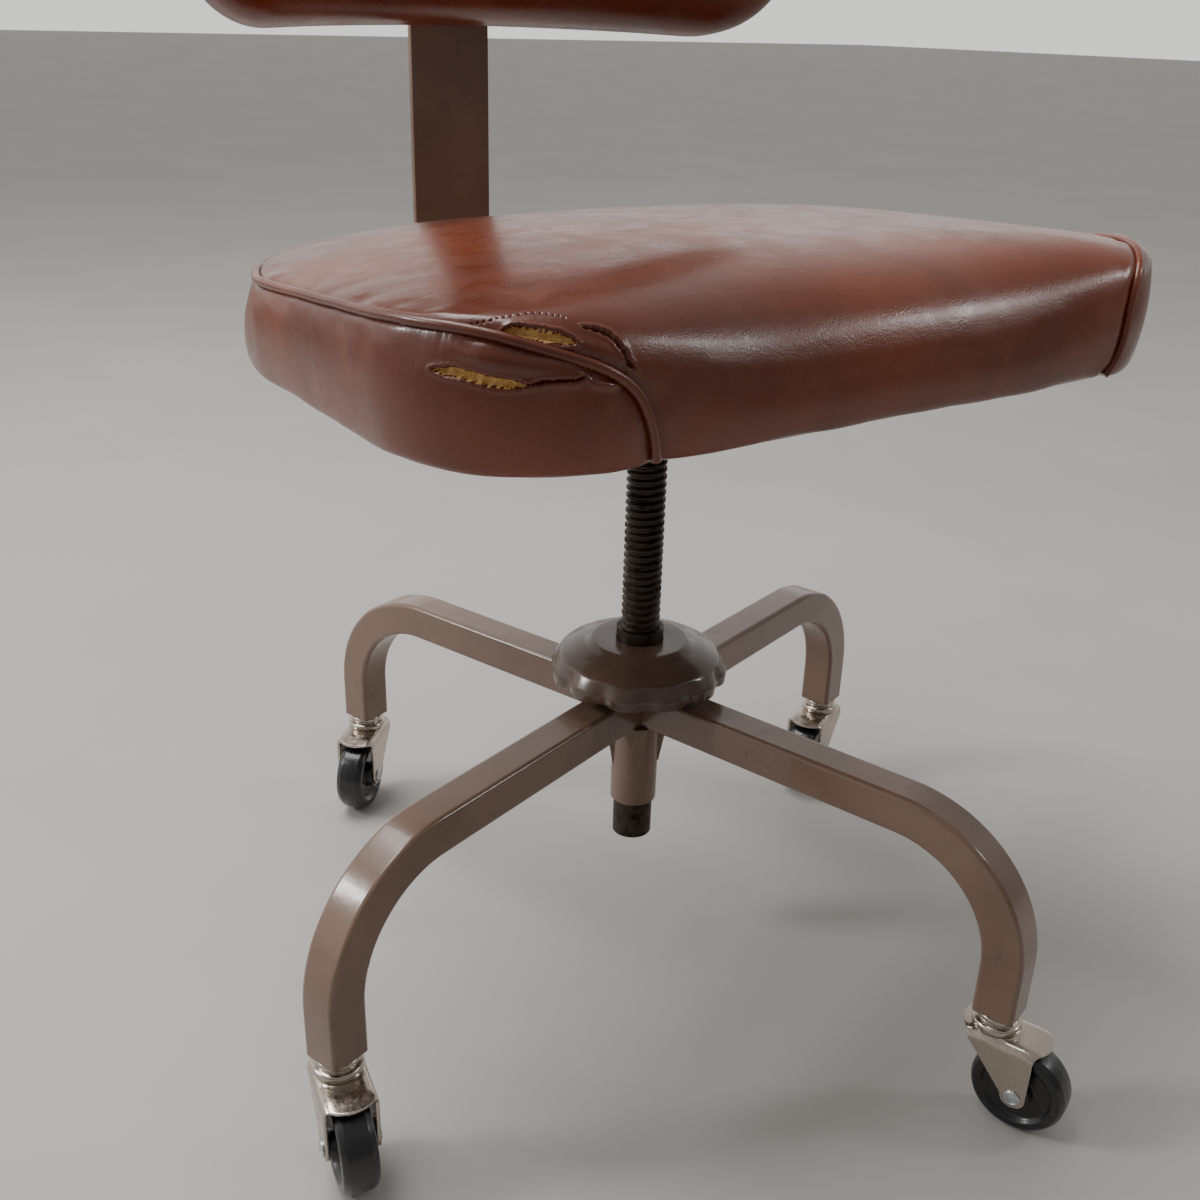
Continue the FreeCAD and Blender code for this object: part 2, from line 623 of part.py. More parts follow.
def handwheel():
    """A domed wheel with a thick rim, scalloped underneath for the fingers."""
    shell = d.wheel_shell
    wheel = lathe("handwheel_blank", [
        (d.nut_radius, flange_top), (d.wheel_hub_radius, flange_top),
        (d.wheel_hub_radius + shell, d.wheel_crown_top - shell * 2),
        (d.wheel_crown_radius, d.wheel_crown_top - shell * 1.5),
        (d.wheel_rim_radius - shell * 2.5, d.wheel_rim_top - shell * 0.2),
        (d.wheel_rim_radius - shell * 1.2, d.wheel_rim_bottom),
        (d.wheel_rim_radius - shell * 0.4, d.wheel_rim_bottom),
        (d.wheel_rim_radius, d.wheel_rim_bottom + shell * 0.5), (d.wheel_rim_radius, d.wheel_rim_top),
        (d.wheel_rim_radius - shell, d.wheel_rim_top + shell * 1.5),
        (d.wheel_crown_radius + shell * 3.5, d.wheel_crown_top - shell * 1.9),
        (d.wheel_crown_radius + shell * 1.2, d.wheel_crown_top - shell * 0.3),
        (d.wheel_crown_radius, d.wheel_crown_top), (d.nut_radius, d.wheel_crown_top)])
    scallop_centre = d.wheel_rim_radius + d.scallop_radius - d.scallop_depth
    scallop = cylinder("scallop", d.scallop_radius, d.wheel_rim_bottom - 1,
                       d.wheel_rim_top + shell * 2, x=scallop_centre)
    grub_height = (flange_top + d.wheel_crown_top) / 2 - d.wheel_shell / 2
    grub_end = d.wheel_hub_radius + d.wheel_shell / 4
    grub_hole = rod("grub_hole", d.grub_diameter / 2, d.nut_radius - 1, grub_end + d.wheel_shell, "X",
                    0, grub_height)
    doc.recompute()
    cut("handwheel", wheel, polar_copies("scallops", scallop, SCALLOPS), grub_hole)
    rod("handwheel_grub_screw", d.grub_diameter / 2, d.nut_radius, grub_end, "X", 0, grub_height)


def screw():
    """The lift screw: ring grooves at the thread's pitch, a pilot below and a plain top."""
    outer = d.screw_diameter / 2
    top = plate_bottom - d.end_float
    plain = lathe("screw_blank", [
        (0, d.guide_bottom + d.guide_recess), (d.pilot_diameter / 2, d.guide_bottom + d.guide_recess),
        (d.pilot_diameter / 2, pilot_top), (outer, pilot_top), (outer, socket_bottom()),
        (d.spindle_top_diameter / 2, socket_bottom()), (d.spindle_top_diameter / 2, top), (0, top)])
    turns = int((SIZES["thread_end"] - SIZES["thread_start"]) / SIZES["thread_pitch"])
    root = outer - d.thread_depth
    groove = sketch_on(plain, "XZ_Plane", "thread_groove")
    quarter = d.thread_pitch / 4
    low = d.thread_start
    polygon(groove, [(root, low + quarter), (outer + quarter, low - quarter * 0.2),
                     (outer + quarter, low + quarter * 3.2), (root, low + quarter * 2)])
    before = plain.Shape.Volume
    cutter = plain.newObject("PartDesign::Groove", "thread_ring")
    cutter.Profile = groove
    cutter.ReferenceAxis = (groove, ["V_Axis"])
    cutter.Angle = 360.0
    doc.recompute()
    if not plain.Shape.Volume < before:
        sys.exit("the thread ring cuts nothing")
    rings = plain.newObject("PartDesign::LinearPattern", "thread_rings")
    rings.Originals = [cutter]
    rings.Direction = (groove, ["V_Axis"])
    bind(rings, "Length", d.thread_pitch * (turns - 1))
    rings.Occurrences = turns
    plain.Tip = rings
    doc.recompute()
    bolt_bottom = d.guide_bottom + d.guide_recess - d.washer_thickness
    bolt_hole = cylinder("guide_bolt_hole", d.guide_bolt_size / 2, bolt_bottom, pilot_top + 1)
    pin_hole = rod("screw_pin_hole", d.cross_pin / 2, -outer, outer, "X", 0, pin_height())
    cut("lift_screw", plain, bolt_hole, pin_hole)
    washer_outer = d.pilot_diameter / 2 + d.washer_thickness - d.end_float
    ring("guide_washer", d.guide_bolt_size / 2, washer_outer, bolt_bottom, d.guide_bottom + d.guide_recess)
    head = doc.addObject("Part::Prism", "guide_bolt_head")
    head.Polygon = 6
    bind(head, "Circumradius", d.guide_bolt_hex)
    bind(head, "Height", d.bolt_head_rise)
    place(head, z=bolt_bottom - d.bolt_head_rise)
    shank = cylinder("guide_bolt_shank", d.guide_bolt_size / 2, bolt_bottom - 1, pilot_top + 1)
    fuse("guide_bolt", head, shank)


def socket_bottom():
    """Height of the spindle socket's lower face."""
    return plate_bottom - d.spindle_socket_length


def pin_height():
    """Height of the cross pin in the spindle socket."""
    return plate_bottom - d.spindle_socket_length / 2


# ---------------------------------------------------------------- seat support

def bolt_spots():
    """The four seat bolts' places on the plate."""
    x = d.plate_width / 2 - d.bolt_inset
    return [(sx, y) for sx in (-x, x) for y in (-(d.plate_front - d.bolt_setback),
                                               d.plate_back - d.bolt_setback)]


def seat_support():
    """Spindle socket, cross pin, pressed plate, bolts, washers and T-nuts."""
    outer = d.socket_radius
    inner = d.spindle_top_diameter / 2
    low = socket_bottom()
    socket = lathe("socket_blank", [
        (inner, low), (outer - d.socket_chamfer, low), (outer, low + d.socket_chamfer),
        (outer, plate_bottom), (inner, plate_bottom)])
    socket_pin_hole = rod("socket_pin_hole", d.cross_pin / 2, -(outer + 1), outer + 1, "X", 0, pin_height())
    cut("spindle_socket", socket, socket_pin_hole)
    rod("socket_cross_pin", d.cross_pin / 2, -(outer + 1), outer + 1, "X", 0, pin_height())
    half = d.plate_width / 2
    top = box("plate_top", (-half, half), (-d.plate_front, d.plate_back), (plate_bottom, plate_top))
    flanges = [box(f"plate_flange_{side}", (low_x, low_x + d.plate_thickness), (-d.plate_front, d.plate_back),
                   (plate_top - d.plate_flange, plate_top))
               for side, low_x in (("right", -half), ("left", half - d.plate_thickness))]
    holes, bolts, washers, nuts = [], [], [], []
    radius = d.seat_bolt / 2
    for number, (x, y) in enumerate(bolt_spots()):
        holes.append(cylinder(f"plate_hole_{number}", radius, plate_bottom, plate_top, x, y))
        washer = cylinder(f"washer_disc_{number}", d.seat_bolt, plate_bottom - d.seat_washer, plate_bottom,
                          x, y)
        washer_hole = cylinder(f"washer_hole_{number}", radius, plate_bottom - d.seat_washer, plate_bottom,
                          x, y)
        washers.append(cut(f"washer_{number}", washer, washer_hole))
        head = doc.addObject("Part::Prism", f"bolt_head_{number}")
        head.Polygon = 6
        bind(head, "Circumradius", d.seat_bolt)
        bind(head, "Height", d.seat_bolt_head)
        place(head, x, y, plate_bottom - d.seat_washer - d.seat_bolt_head)
        shank = cylinder(f"bolt_shank_{number}", radius, plate_bottom - d.seat_washer - d.bolt_tail,
                         board_top - d.tnut_flange, x, y)
        bolts.append(fuse(f"bolt_{number}", head, shank))
        flange = cylinder(f"tnut_flange_{number}", d.tnut_radius, board_top - d.tnut_flange, board_top,
                          x, y)
        barrel = cylinder(f"tnut_barrel_{number}", d.tnut_barrel / 2, board_bottom + d.tnut_end, board_top,
                          x, y)
        thread = cylinder(f"tnut_bore_{number}", radius, board_bottom, board_top, x, y)
        nuts.append(cut(f"tnut_{number}", fuse(f"tnut_blank_{number}", flange, barrel), thread))
    cut("seat_plate", fuse("plate_blank", top, *flanges), *holes)
    group("seat_washers", *washers)
    group("seat_bolts", *bolts)
    group("seat_tnuts", *nuts)


# ---------------------------------------------------------------- seat

def seat_outline(label, inset, low, high):
    """A prism of the seat's plan: straight front and sides, round corners, broad round back."""
    half = d.seat_width / 2 - inset
    body = new_body(label)
    outline = sketch_on(body, "XY_Plane", label + "_outline", lift=low)
    polygon(outline, [(-half, -(d.seat_front - inset)), (half, -(d.seat_front - inset)),
                      (half, d.seat_back - inset), (-half, d.seat_back - inset)])
    pad(body, outline, high - low)
    prism = body.Tip
    for at_back, radius in ((False, d.seat_front_corner), (True, d.seat_back_corner)):
        upright = [f"Edge{i}" for i, edge in enumerate(prism.Shape.Edges, start=1)
                   if edge.BoundBox.ZLength > SHORTEST_UPRIGHT
                   and edge.BoundBox.DiagonalLength < edge.BoundBox.ZLength + NEAR
                   and abs(edge.CenterOfMass.x) > float(half) - NEAR
                   and (edge.CenterOfMass.y > 0) == at_back]
        rounding = body.newObject("PartDesign::Fillet", f"{label}_{'back' if at_back else 'front'}")
        rounding.Base = (prism, upright)
        bind(rounding, "Radius", radius - inset)
        doc.recompute()
        prism = rounding
    return body


def seat():
    """Plywood board, dust cover and the padded cushion that wraps over the board's edge."""
    board = seat_outline("board_blank", d.board_inset, board_bottom, board_top)
    drillings = []
    for number, (x, y) in enumerate(bolt_spots()):
        drillings.append(cylinder(f"board_sink_{number}", d.tnut_radius, board_top - d.tnut_flange,
                                  board_top, x, y))
        drillings.append(cylinder(f"board_barrel_{number}", d.tnut_barrel / 2,
                                  board_bottom + d.tnut_end, board_top, x, y))
        drillings.append(cylinder(f"board_bore_{number}", d.seat_bolt / 2, board_bottom, board_top, x, y))
    cut("seat_board", board, *drillings)
    cover_inset = d.board_inset * 2
    cover = seat_outline("cover_blank", cover_inset, plate_top, board_bottom)
    cover_holes = [cylinder(f"cover_hole_{n}", d.seat_bolt / 2, plate_top, board_bottom, x, y)
                   for n, (x, y) in enumerate(bolt_spots())]
    cut("seat_dust_cover", cover, *cover_holes)
    prism = seat_outline("pad_prism", size(0), d.seat_bottom, d.pad_crown)
    slope = new_body("pad_slope")
    side = sketch_on(slope, "YZ_Plane", "pad_slope_side")
    front = -d.seat_front
    polygon(side, [(front, d.seat_bottom), (front, d.pad_front - d.pad_nose_drop),
                   (front + d.pad_nose * 0.3, d.pad_front - d.pad_nose_drop * 0.35),
                   (front + d.pad_nose, d.pad_front), (-d.pad_nose, d.pad_crown),
                   (d.pad_nose, d.pad_crown), (d.seat_back, d.pad_rear), (d.seat_back, d.seat_bottom)])
    pad(slope, side, d.seat_width + 2, both_ways=True)
    solid = common("pad_solid", prism, slope)
    board_room = seat_outline("board_room", d.board_inset, d.seat_bottom - 1, board_top)
    cut("seat_pad", solid, board_room)


# ---------------------------------------------------------------- back

def back_bar():
    """The bar guide under the seat, the flat bent bar and the two clamp knobs."""
    half = d.bar_width / 2
    opening = half + d.guide_clearance
    shell = box("guide_shell", (-(opening + d.guide_wall), opening + d.guide_wall),
                (d.guide_front, d.guide_back), (guide_floor - d.guide_wall, plate_bottom))
    passage = box("guide_passage", (-opening, opening), (d.guide_front, d.guide_back),
                  (guide_floor, plate_bottom - d.guide_wall))
    stud_room = cylinder("guide_stud_hole", d.clamp_stud / 2 + d.stud_fit, guide_floor - d.guide_wall,
                         plate_bottom, y=d.depth_knob_y)
    cut("back_bar_guide", shell, passage, stud_room)

    body = new_body("bar_blank")
    path = sketch_on(body, "YZ_Plane", "bar_path")
    low, far, high = float(bar_middle), float(d.bar_distance), float(d.bar_top)
    r = float(d.bar_bend)
    bend = Part.Circle(Vector(far - r, low + r, 0), Vector(0, 0, 1), r)
    path.addGeometry([
        Part.LineSegment(Vector(float(d.bar_tail), low, 0), Vector(far - r, low, 0)),
        Part.ArcOfCircle(bend, -math.pi / 2, 0.0),
        Part.LineSegment(Vector(far, low + r, 0), Vector(far, high, 0))], False)
    path.addConstraint([
        Sketcher.Constraint("Tangent", 0, 2, 1, 1), Sketcher.Constraint("Tangent", 1, 2, 2, 1),
        Sketcher.Constraint("Horizontal", 0), Sketcher.Constraint("Vertical", 2)])
    pin_point(path, 0, 1, d.bar_tail, bar_middle)
    pin_point(path, 2, 2, d.bar_distance, d.bar_top)
    held = path.addConstraint(Sketcher.Constraint("Radius", 1, r))
    path.setExpression(f"Constraints[{held}]", d.bar_bend.text)
    section = sketch_on(body, "XZ_Plane", "bar_section", lift=-d.bar_tail)
    rounded_rectangle(section, (-half, bar_middle - d.bar_thickness / 2),
                      (half, bar_middle + d.bar_thickness / 2), d.bar_thickness / 5)
    doc.recompute()
    pipe = body.newObject("PartDesign::AdditivePipe", "bar_bent")
    pipe.Profile = section
    pipe.Spine = (path, ["Edge1", "Edge2", "Edge3"])
    doc.recompute()
    slot = d.clamp_stud / 2 + d.slot_clearance
    cuts = []
    slot_ends = (d.depth_knob_y - d.depth_travel, d.depth_knob_y + d.depth_travel)
    for number, end in enumerate(slot_ends):
        cuts.append(cylinder(f"depth_slot_end_{number}", slot, bar_middle - d.bar_thickness,
                             bar_middle + d.bar_thickness, y=end))
    cuts.append(box("depth_slot", (-slot, slot), slot_ends,
                    (bar_middle - d.bar_thickness, bar_middle + d.bar_thickness)))
    low_end, high_end = back_middle - d.height_travel_down, back_middle + d.height_travel_up
    deep = (d.bar_distance - d.bar_thickness, d.bar_distance + d.bar_thickness)
    for number, end in enumerate((low_end, high_end)):
        cuts.append(rod(f"height_slot_end_{number}", slot, *deep, "Y", 0, end))
    cuts.append(box("height_slot", (-slot, slot), deep, (low_end, high_end)))
    cut("back_bar", body, *cuts)

    floor = guide_floor - d.guide_wall - d.knob_gap
    knob("depth_knob")
    cylinder("depth_knob_stud", d.clamp_stud / 2, floor, plate_bottom - d.end_float, y=d.depth_knob_y)
    place(doc.getObject("depth_knob"), y=d.depth_knob_y, z=floor)
    saddle()


def knob(label):
    """A round grip knob hanging below its own origin, with finger flutes."""
    radius, height = d.knob_radius, d.knob_height
    blank = lathe(label + "_blank", [
        (0, -height), (radius * 0.72, -height), (radius * 0.92, -height * 0.88), (radius, -height * 0.7),
        (radius, -height * 0.35), (radius * 0.6, -height * 0.25), (radius * 0.45, 0), (0, 0)])
    flute = cylinder(label + "_flute", radius / 4, -height - 1, -height * 0.3, x=radius * 1.17)
    doc.recompute()
    cut(label, blank, polar_copies(label + "_flutes", flute, KNOB_FLUTES))


def saddle():
    """The carriage that clamps on the bar, its knob, the pivot pin and the backrest's bracket."""
    half = d.bar_width / 2 + d.guide_clearance
    wall = d.saddle_wall
    low, high = back_middle - d.saddle_height / 2, back_middle + d.saddle_height / 2
    front = box("saddle_front", (-(half + wall), half + wall), (saddle_front, saddle_front + wall),
                (low, high))
    sides = [box(f"saddle_side_{n}", (x, x + wall), (saddle_front, bar_back + d.guide_clearance), (low, high))
             for n, x in enumerate((-(half + wall), half))]
    lugs = []
    inner = d.lug_gap / 2
    for n, x in enumerate((-(inner + d.lug_thickness), inner)):
        lugs.append(rod(f"lug_eye_{n}", d.lug_radius, x, x + d.lug_thickness, "X", pivot_y, back_middle))
        lugs.append(box(f"lug_web_{n}", (x, x + d.lug_thickness), (pivot_y, saddle_front + 1),
                        (back_middle - d.lug_radius, back_middle + d.lug_radius)))
    pin_hole = rod("lug_hole", d.pivot_pin / 2, -(inner + d.lug_thickness), inner + d.lug_thickness, "X",
                   pivot_y, back_middle)
    stud_hole = rod("saddle_stud_hole", d.clamp_stud / 2 + d.stud_fit, saddle_front, saddle_front + wall, "Y",
                    0, back_middle)
    cut("back_saddle", fuse("saddle_blank", front, *sides, *lugs), pin_hole, stud_hole)
    reach = inner + d.lug_thickness + d.pin_overhang
    rod("back_pivot_pin", d.pivot_pin / 2, -reach, reach, "X", pivot_y, back_middle)
    clamp_back = bar_back + d.guide_clearance + wall
    clamp = box("clamp_blank", (-half, half), (bar_back + d.guide_clearance, clamp_back),
                (back_middle - d.rear_clamp_height / 2, back_middle + d.rear_clamp_height / 2))
    clamp_hole = rod("clamp_hole", d.clamp_stud / 2 + d.stud_fit, bar_back, clamp_back + 1, "Y",
                     0, back_middle)
    cut("back_clamp_plate", clamp, clamp_hole)
    knob("height_knob")
    spot = Vector(0, float(clamp_back + d.knob_gap), float(back_middle))
    doc.getObject("height_knob").Placement = Placement(spot, Rotation(Vector(1, 0, 0), 90))
    rod("height_knob_stud", d.clamp_stud / 2, saddle_front + d.end_float, clamp_back + d.knob_gap, "Y",
        0, back_middle)


def back_slab(label, inner, outer, inset):
    """A slab curved about a vertical axis in front of the chair, with rounded corners."""
    half = d.back_width / 2 - inset
    body = new_body(label + "_face")
    face = sketch_on(body, "XZ_Plane", label + "_outline")
    rounded_rectangle(face, (-half, d.back_bottom + inset), (half, d.back_bottom + d.back_height - inset),
                      d.back_corner - inset)
    deep = pad(body, face, d.back_curve)
    deep.Reversed = True
    high = d.back_bottom + d.back_height + 1
    disc = cylinder(label + "_disc", outer, d.back_bottom - 1, high, y=back_axis)
    core = cylinder(label + "_core", inner, d.back_bottom - 2, high + 1, y=back_axis)
    doc.recompute()
    return common(label + "_slab", body, cut(label + "_ring", disc, core))


def backrest():
    """Curved board, rear cover, pad and the bracket with its screws."""
    rear = d.back_curve + d.back_thickness / 2
    front = d.back_curve - d.back_thickness / 2
    board_rear = rear - d.back_cover
    board_front = board_rear - d.back_board
    board = back_slab("board", board_front, board_rear, d.back_board_inset)
    cover = back_slab("cover", board_rear, rear, d.back_board_inset)
    whole = back_slab("whole", front, rear, size(0))
    room = back_slab("room", board_front, rear + 5, d.back_board_inset)
    cut("backrest_pad", whole, room)
    half_w, half_h = d.bracket_width / 2, d.bracket_height / 2
    plate = box("bracket_plate", (-half_w, half_w), (d.back_rear, d.back_rear + d.bracket_plate),
                (back_middle - half_h, back_middle + half_h))
    barrel_half = d.lug_gap / 2 - d.end_float
    barrel = rod("bracket_barrel", d.lug_radius, -barrel_half, barrel_half, "X", pivot_y, back_middle)
    web = box("bracket_web", (-barrel_half, barrel_half), (d.back_rear + 1, pivot_y),
              (back_middle - d.lug_radius, back_middle + d.lug_radius))
    bore = rod("bracket_bore", d.pivot_pin / 2 + d.running_fit, -barrel_half, barrel_half, "X",
               pivot_y, back_middle)
    screws, holes = [], []
    deep = d.back_rear - d.screw_length
    head = d.back_rear + d.bracket_plate
    x_out, z_out = half_w - d.screw_head, half_h - d.screw_head
    for n, (sx, sz) in enumerate(((-1, -1), (-1, 1), (1, -1), (1, 1))):
        spot = (x_out * sx, back_middle + z_out * sz)
        shank = rod(f"back_shank_{n}", d.screw_shank / 2, deep, head, "Y", *spot)
        top = rod(f"back_head_{n}", d.screw_head / 2, head, head + d.screw_head_rise, "Y", *spot)
        screws.append(fuse(f"back_screw_{n}", shank, top))
        holes.append(rod(f"back_hole_{n}", d.screw_shank / 2, deep, head, "Y", *spot))
    drill = fuse("back_drillings", *holes)
    cut("backrest_bracket", fuse("bracket_blank", plate, barrel, web), bore, drill)
    cut("backrest_board", board, drill)
    cut("backrest_rear_cover", cover, drill)
    group("backrest_screws", *screws)


# ---------------------------------------------------------------- build and write

NODES = [
    *(f"leg_{name}" for name in LEG_BEARINGS), "hub_tube", "hub_gussets", "caster_sockets",
    "caster_stems", "caster_caps", "caster_balls",
    *(f"caster_{name}_{piece}" for name in LEG_BEARINGS for piece in ("fork", "axle", "bushing", "wheel")),
    "bearing_lower_race", "bearing_balls", "bearing_upper_race", "lift_nut", "handwheel",
    "handwheel_grub_screw", "spindle_guide", "lift_screw", "guide_washer", "guide_bolt",
    "spindle_socket", "socket_cross_pin", "seat_plate", "seat_washers", "seat_bolts", "seat_tnuts",
    "seat_board", "seat_dust_cover", "seat_pad", "back_bar_guide", "back_bar", "depth_knob",
    "depth_knob_stud", "back_saddle", "back_clamp_plate", "back_pivot_pin", "height_knob",
    "height_knob_stud", "backrest_bracket", "backrest_screws", "backrest_board",
    "backrest_rear_cover", "backrest_pad",
]


def write_parts():
    """Check the whole document, then write each node's solids."""
    doc.recompute()
    failed = [o.Label for o in doc.Objects if {"Invalid", "Error"} & set(o.State)]
    if failed:
        sys.exit(f"failed objects: {failed}")
    shapes = {}
    for label in NODES:
        found = doc.getObjectsByLabel(label)
        if len(found) != 1:
            sys.exit(f"{label}: {len(found)} objects")
        shape = found[0].Shape
        if shape.isNull() or not shape.isValid() or not shape.Solids:
            sys.exit(f"{label} has no valid solid")
        shapes[label] = shape
    os.makedirs("parts", exist_ok=True)
    for label, shape in shapes.items():
        shape.exportStep(f"parts/{label}.step")
        box_ = shape.BoundBox
        print(f"{label:24s} {len(shape.Solids):3d} solids {shape.Volume / 1000:9.2f} cm3 "
              f"z {box_.ZMin:7.1f} {box_.ZMax:7.1f}")
    print(len(shapes), "nodes")


base()
casters()
lift()
seat_support()
seat()
back_bar()
backrest()
write_parts()
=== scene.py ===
import json
import logging
import math
from dataclasses import dataclass, replace
from enum import Enum
from typing import Callable, Iterable, Sequence

import bmesh
import bpy
from mathutils import Matrix, Vector, noise
from mathutils.bvhtree import BVHTree
from mathutils.kdtree import KDTree

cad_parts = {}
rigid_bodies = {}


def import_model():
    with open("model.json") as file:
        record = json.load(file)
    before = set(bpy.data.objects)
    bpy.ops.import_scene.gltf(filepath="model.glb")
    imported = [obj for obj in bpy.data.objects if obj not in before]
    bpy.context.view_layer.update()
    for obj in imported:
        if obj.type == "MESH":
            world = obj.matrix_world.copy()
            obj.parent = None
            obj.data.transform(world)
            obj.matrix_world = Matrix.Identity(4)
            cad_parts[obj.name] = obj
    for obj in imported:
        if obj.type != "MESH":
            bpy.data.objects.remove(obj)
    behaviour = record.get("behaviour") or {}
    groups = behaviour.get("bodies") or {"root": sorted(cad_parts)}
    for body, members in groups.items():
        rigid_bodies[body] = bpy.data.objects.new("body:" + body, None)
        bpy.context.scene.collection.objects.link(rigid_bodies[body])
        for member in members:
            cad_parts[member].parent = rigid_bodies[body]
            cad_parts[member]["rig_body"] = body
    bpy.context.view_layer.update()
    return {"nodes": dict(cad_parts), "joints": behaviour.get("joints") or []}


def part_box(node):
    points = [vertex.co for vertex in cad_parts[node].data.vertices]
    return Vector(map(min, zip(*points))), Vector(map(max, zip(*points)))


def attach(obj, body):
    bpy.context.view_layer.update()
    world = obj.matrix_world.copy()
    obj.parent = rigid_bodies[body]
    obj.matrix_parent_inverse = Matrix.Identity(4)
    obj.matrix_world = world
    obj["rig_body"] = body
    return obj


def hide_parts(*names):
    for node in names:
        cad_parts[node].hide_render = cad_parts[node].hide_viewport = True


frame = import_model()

# The looks of a screw-lift swivel chair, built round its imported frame.
# Lengths are millimetres until a mesh is finished, and bearings are degrees from +X.
# The seat's front faces -Y and the sitter's left is +X.

MM = 0.001
LOG = logging.getLogger("chair")

Point = tuple[float, float]
Point3 = tuple[float, float, float]
Colour = tuple[float, float, float, float]
Socket = bpy.types.NodeSocket


class Corner(Enum):
    """Which leg of the base, and the caster under it."""

    RIGHT = "right"
    FRONT = "front"
    LEFT = "left"
    REAR = "rear"


class Joining(Enum):
    """How two values become one."""

    ADD = "ADD"
    MULTIPLY = "MULTIPLY"


# ------------------------------------------------------------------ frame

def corners_of(node: str) -> tuple[Vector, Vector]:
    """Give a node's lowest and highest corners in millimetres."""
    low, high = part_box(node)
    return low / MM, high / MM


def joint_place(name: str) -> Vector:
    """Give the point that a joint turns about, in millimetres."""
    joint = next(j for j in frame["joints"] if j["name"] == name)
    return Vector(joint["pos_m"]) / MM


def stand_for(piece: bpy.types.Object, node: str) -> None:
    """Let a piece ride where a CAD node rides, and hide that node.

    Args:
        piece: The finished object.
        node: The node that it stands for.
    """
    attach(piece, frame["nodes"][node]["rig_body"])
    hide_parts(node)


# ------------------------------------------------------------------ meshes

def smoothstep(low: float, high: float, value: float) -> float:
    """Rise smoothly from 0 at low to 1 at high."""
    share = min(1.0, max(0.0, (value - low) / (high - low)))
    return share * share * (3 - 2 * share)


def bell(away: float, width: float) -> float:
    """Fall smoothly from 1 at no distance towards 0 beyond a width."""
    return math.exp(-(away / width) ** 2)


def quarter_round(steps: int = 8) -> list[Point]:
    """Give a quarter round's shares of inset and drop, from its inner end to its outer one."""
    angles = [math.pi / 2 * step / steps for step in range(steps + 1)]
    return [(1 - math.sin(angle), 1 - math.cos(angle)) for angle in angles]


def finish_mesh(bm: bmesh.types.BMesh, name: str, crease: float = 32.0,
                place: Matrix | None = None) -> bpy.types.Object:
    """Turn a bmesh in millimetres into a smooth-shaded object at the origin.

    Args:
        bm: The mesh, which is freed.
        name: The new object's name.
        crease: Edges that turn more than this many degrees stay sharp.
        place: Where the mesh goes in the chair, if it was made about its own axis.

    Returns:
        The linked object, in metres.
    """
    if place is not None:
        bmesh.ops.transform(bm, matrix=place, verts=bm.verts)
    bm.normal_update()
    limit = math.radians(crease)
    for face in bm.faces:
        face.smooth = True
    for edge in bm.edges:
        edge.smooth = len(edge.link_faces) != 2 or edge.calc_face_angle(0.0) < limit
    bmesh.ops.scale(bm, vec=(MM, MM, MM), verts=bm.verts)
    mesh = bpy.data.meshes.new(name)
    bm.to_mesh(mesh)
    bm.free()
    piece = bpy.data.objects.new(name, mesh)
    bpy.context.scene.collection.objects.link(piece)
    return piece


def rounded(points: Sequence[tuple[float, ...]], segments: int = 4) -> list[Point]:
    """Round the corners of an outline.

    Args:
        points: Radius, height and, where a corner is rounded, its fillet radius.
        segments: How many straight pieces each round has.

    Returns:
        The outline with arcs at its rounded corners.
    """
    line: list[Point] = []
    count = len(points)
    for index, corner in enumerate(points):
        here = Vector(corner[:2])
        radius = corner[2] if len(corner) > 2 else 0.0
        if not radius:
            line.append((here.x, here.y))
            continue
        back = Vector(points[(index - 1) % count][:2]) - here
        ahead = Vector(points[(index + 1) % count][:2]) - here
        half = back.angle(ahead) / 2
        reach = min(radius / math.tan(half), back.length * 0.49, ahead.length * 0.49)
        middle = here + (back.normalized() + ahead.normalized()).normalized() * (reach / math.cos(half))
        start = here + back.normalized() * reach - middle
        turn = start.angle_signed(here + ahead.normalized() * reach - middle)
        for step in range(segments + 1):
            arm = start.copy()
            arm.rotate(Matrix.Rotation(-turn * step / segments, 2))
            line.append((middle.x + arm.x, middle.y + arm.y))
    return line


def spin_outline(points: Sequence[Point], closed: bool, steps: int = 96) -> bmesh.types.BMesh:
    """Turn an outline of (radius, height) points about the Z axis.

    Args:
        points: The outline. An open one starts and ends on the axis.
        closed: Whether the last point joins the first.
        steps: How many steps the turn has.

    Returns:
        A closed, outward-facing solid of revolution.
    """
    bm = bmesh.new()
    verts = [bm.verts.new((radius, 0.0, height)) for radius, height in points]
    pairs = list(zip(verts, verts[1:])) + ([(verts[-1], verts[0])] if closed else [])
    edges = [bm.edges.new(pair) for pair in pairs]
    bmesh.ops.spin(bm, geom=verts + edges, cent=(0, 0, 0), axis=(0, 0, 1), dvec=(0, 0, 0),
                   angle=math.tau, steps=steps, use_merge=True, use_duplicate=False)
    bmesh.ops.remove_doubles(bm, verts=bm.verts, dist=1e-4)
    bmesh.ops.recalc_face_normals(bm, faces=bm.faces)
    return bm


def wrap_uv(bm: bmesh.types.BMesh, radius: float) -> None:
    """Give a turned piece a UV map in metres: along its circumference, and along its axis.

    Args:
        bm: The piece, still centred on the Z axis.
        radius: The radius at which the circumference is measured.
    """
    layer = bm.loops.layers.uv.new("wrap")
    for face in bm.faces:
        middle = face.calc_center_median()
        base = math.atan2(middle.y, middle.x)
        for loop in face.loops:
            spot = loop.vert.co
            angle = math.atan2(spot.y, spot.x)
            angle += math.tau * round((base - angle) / math.tau)
            loop[layer].uv = (angle * radius * MM, spot.z * MM)


def move(bm: bmesh.types.BMesh, rule: Callable[[Vector], Vector]) -> None:
    """Move every vertex to where a rule sends it."""
    for vert in bm.verts:
        vert.co = rule(vert.co)


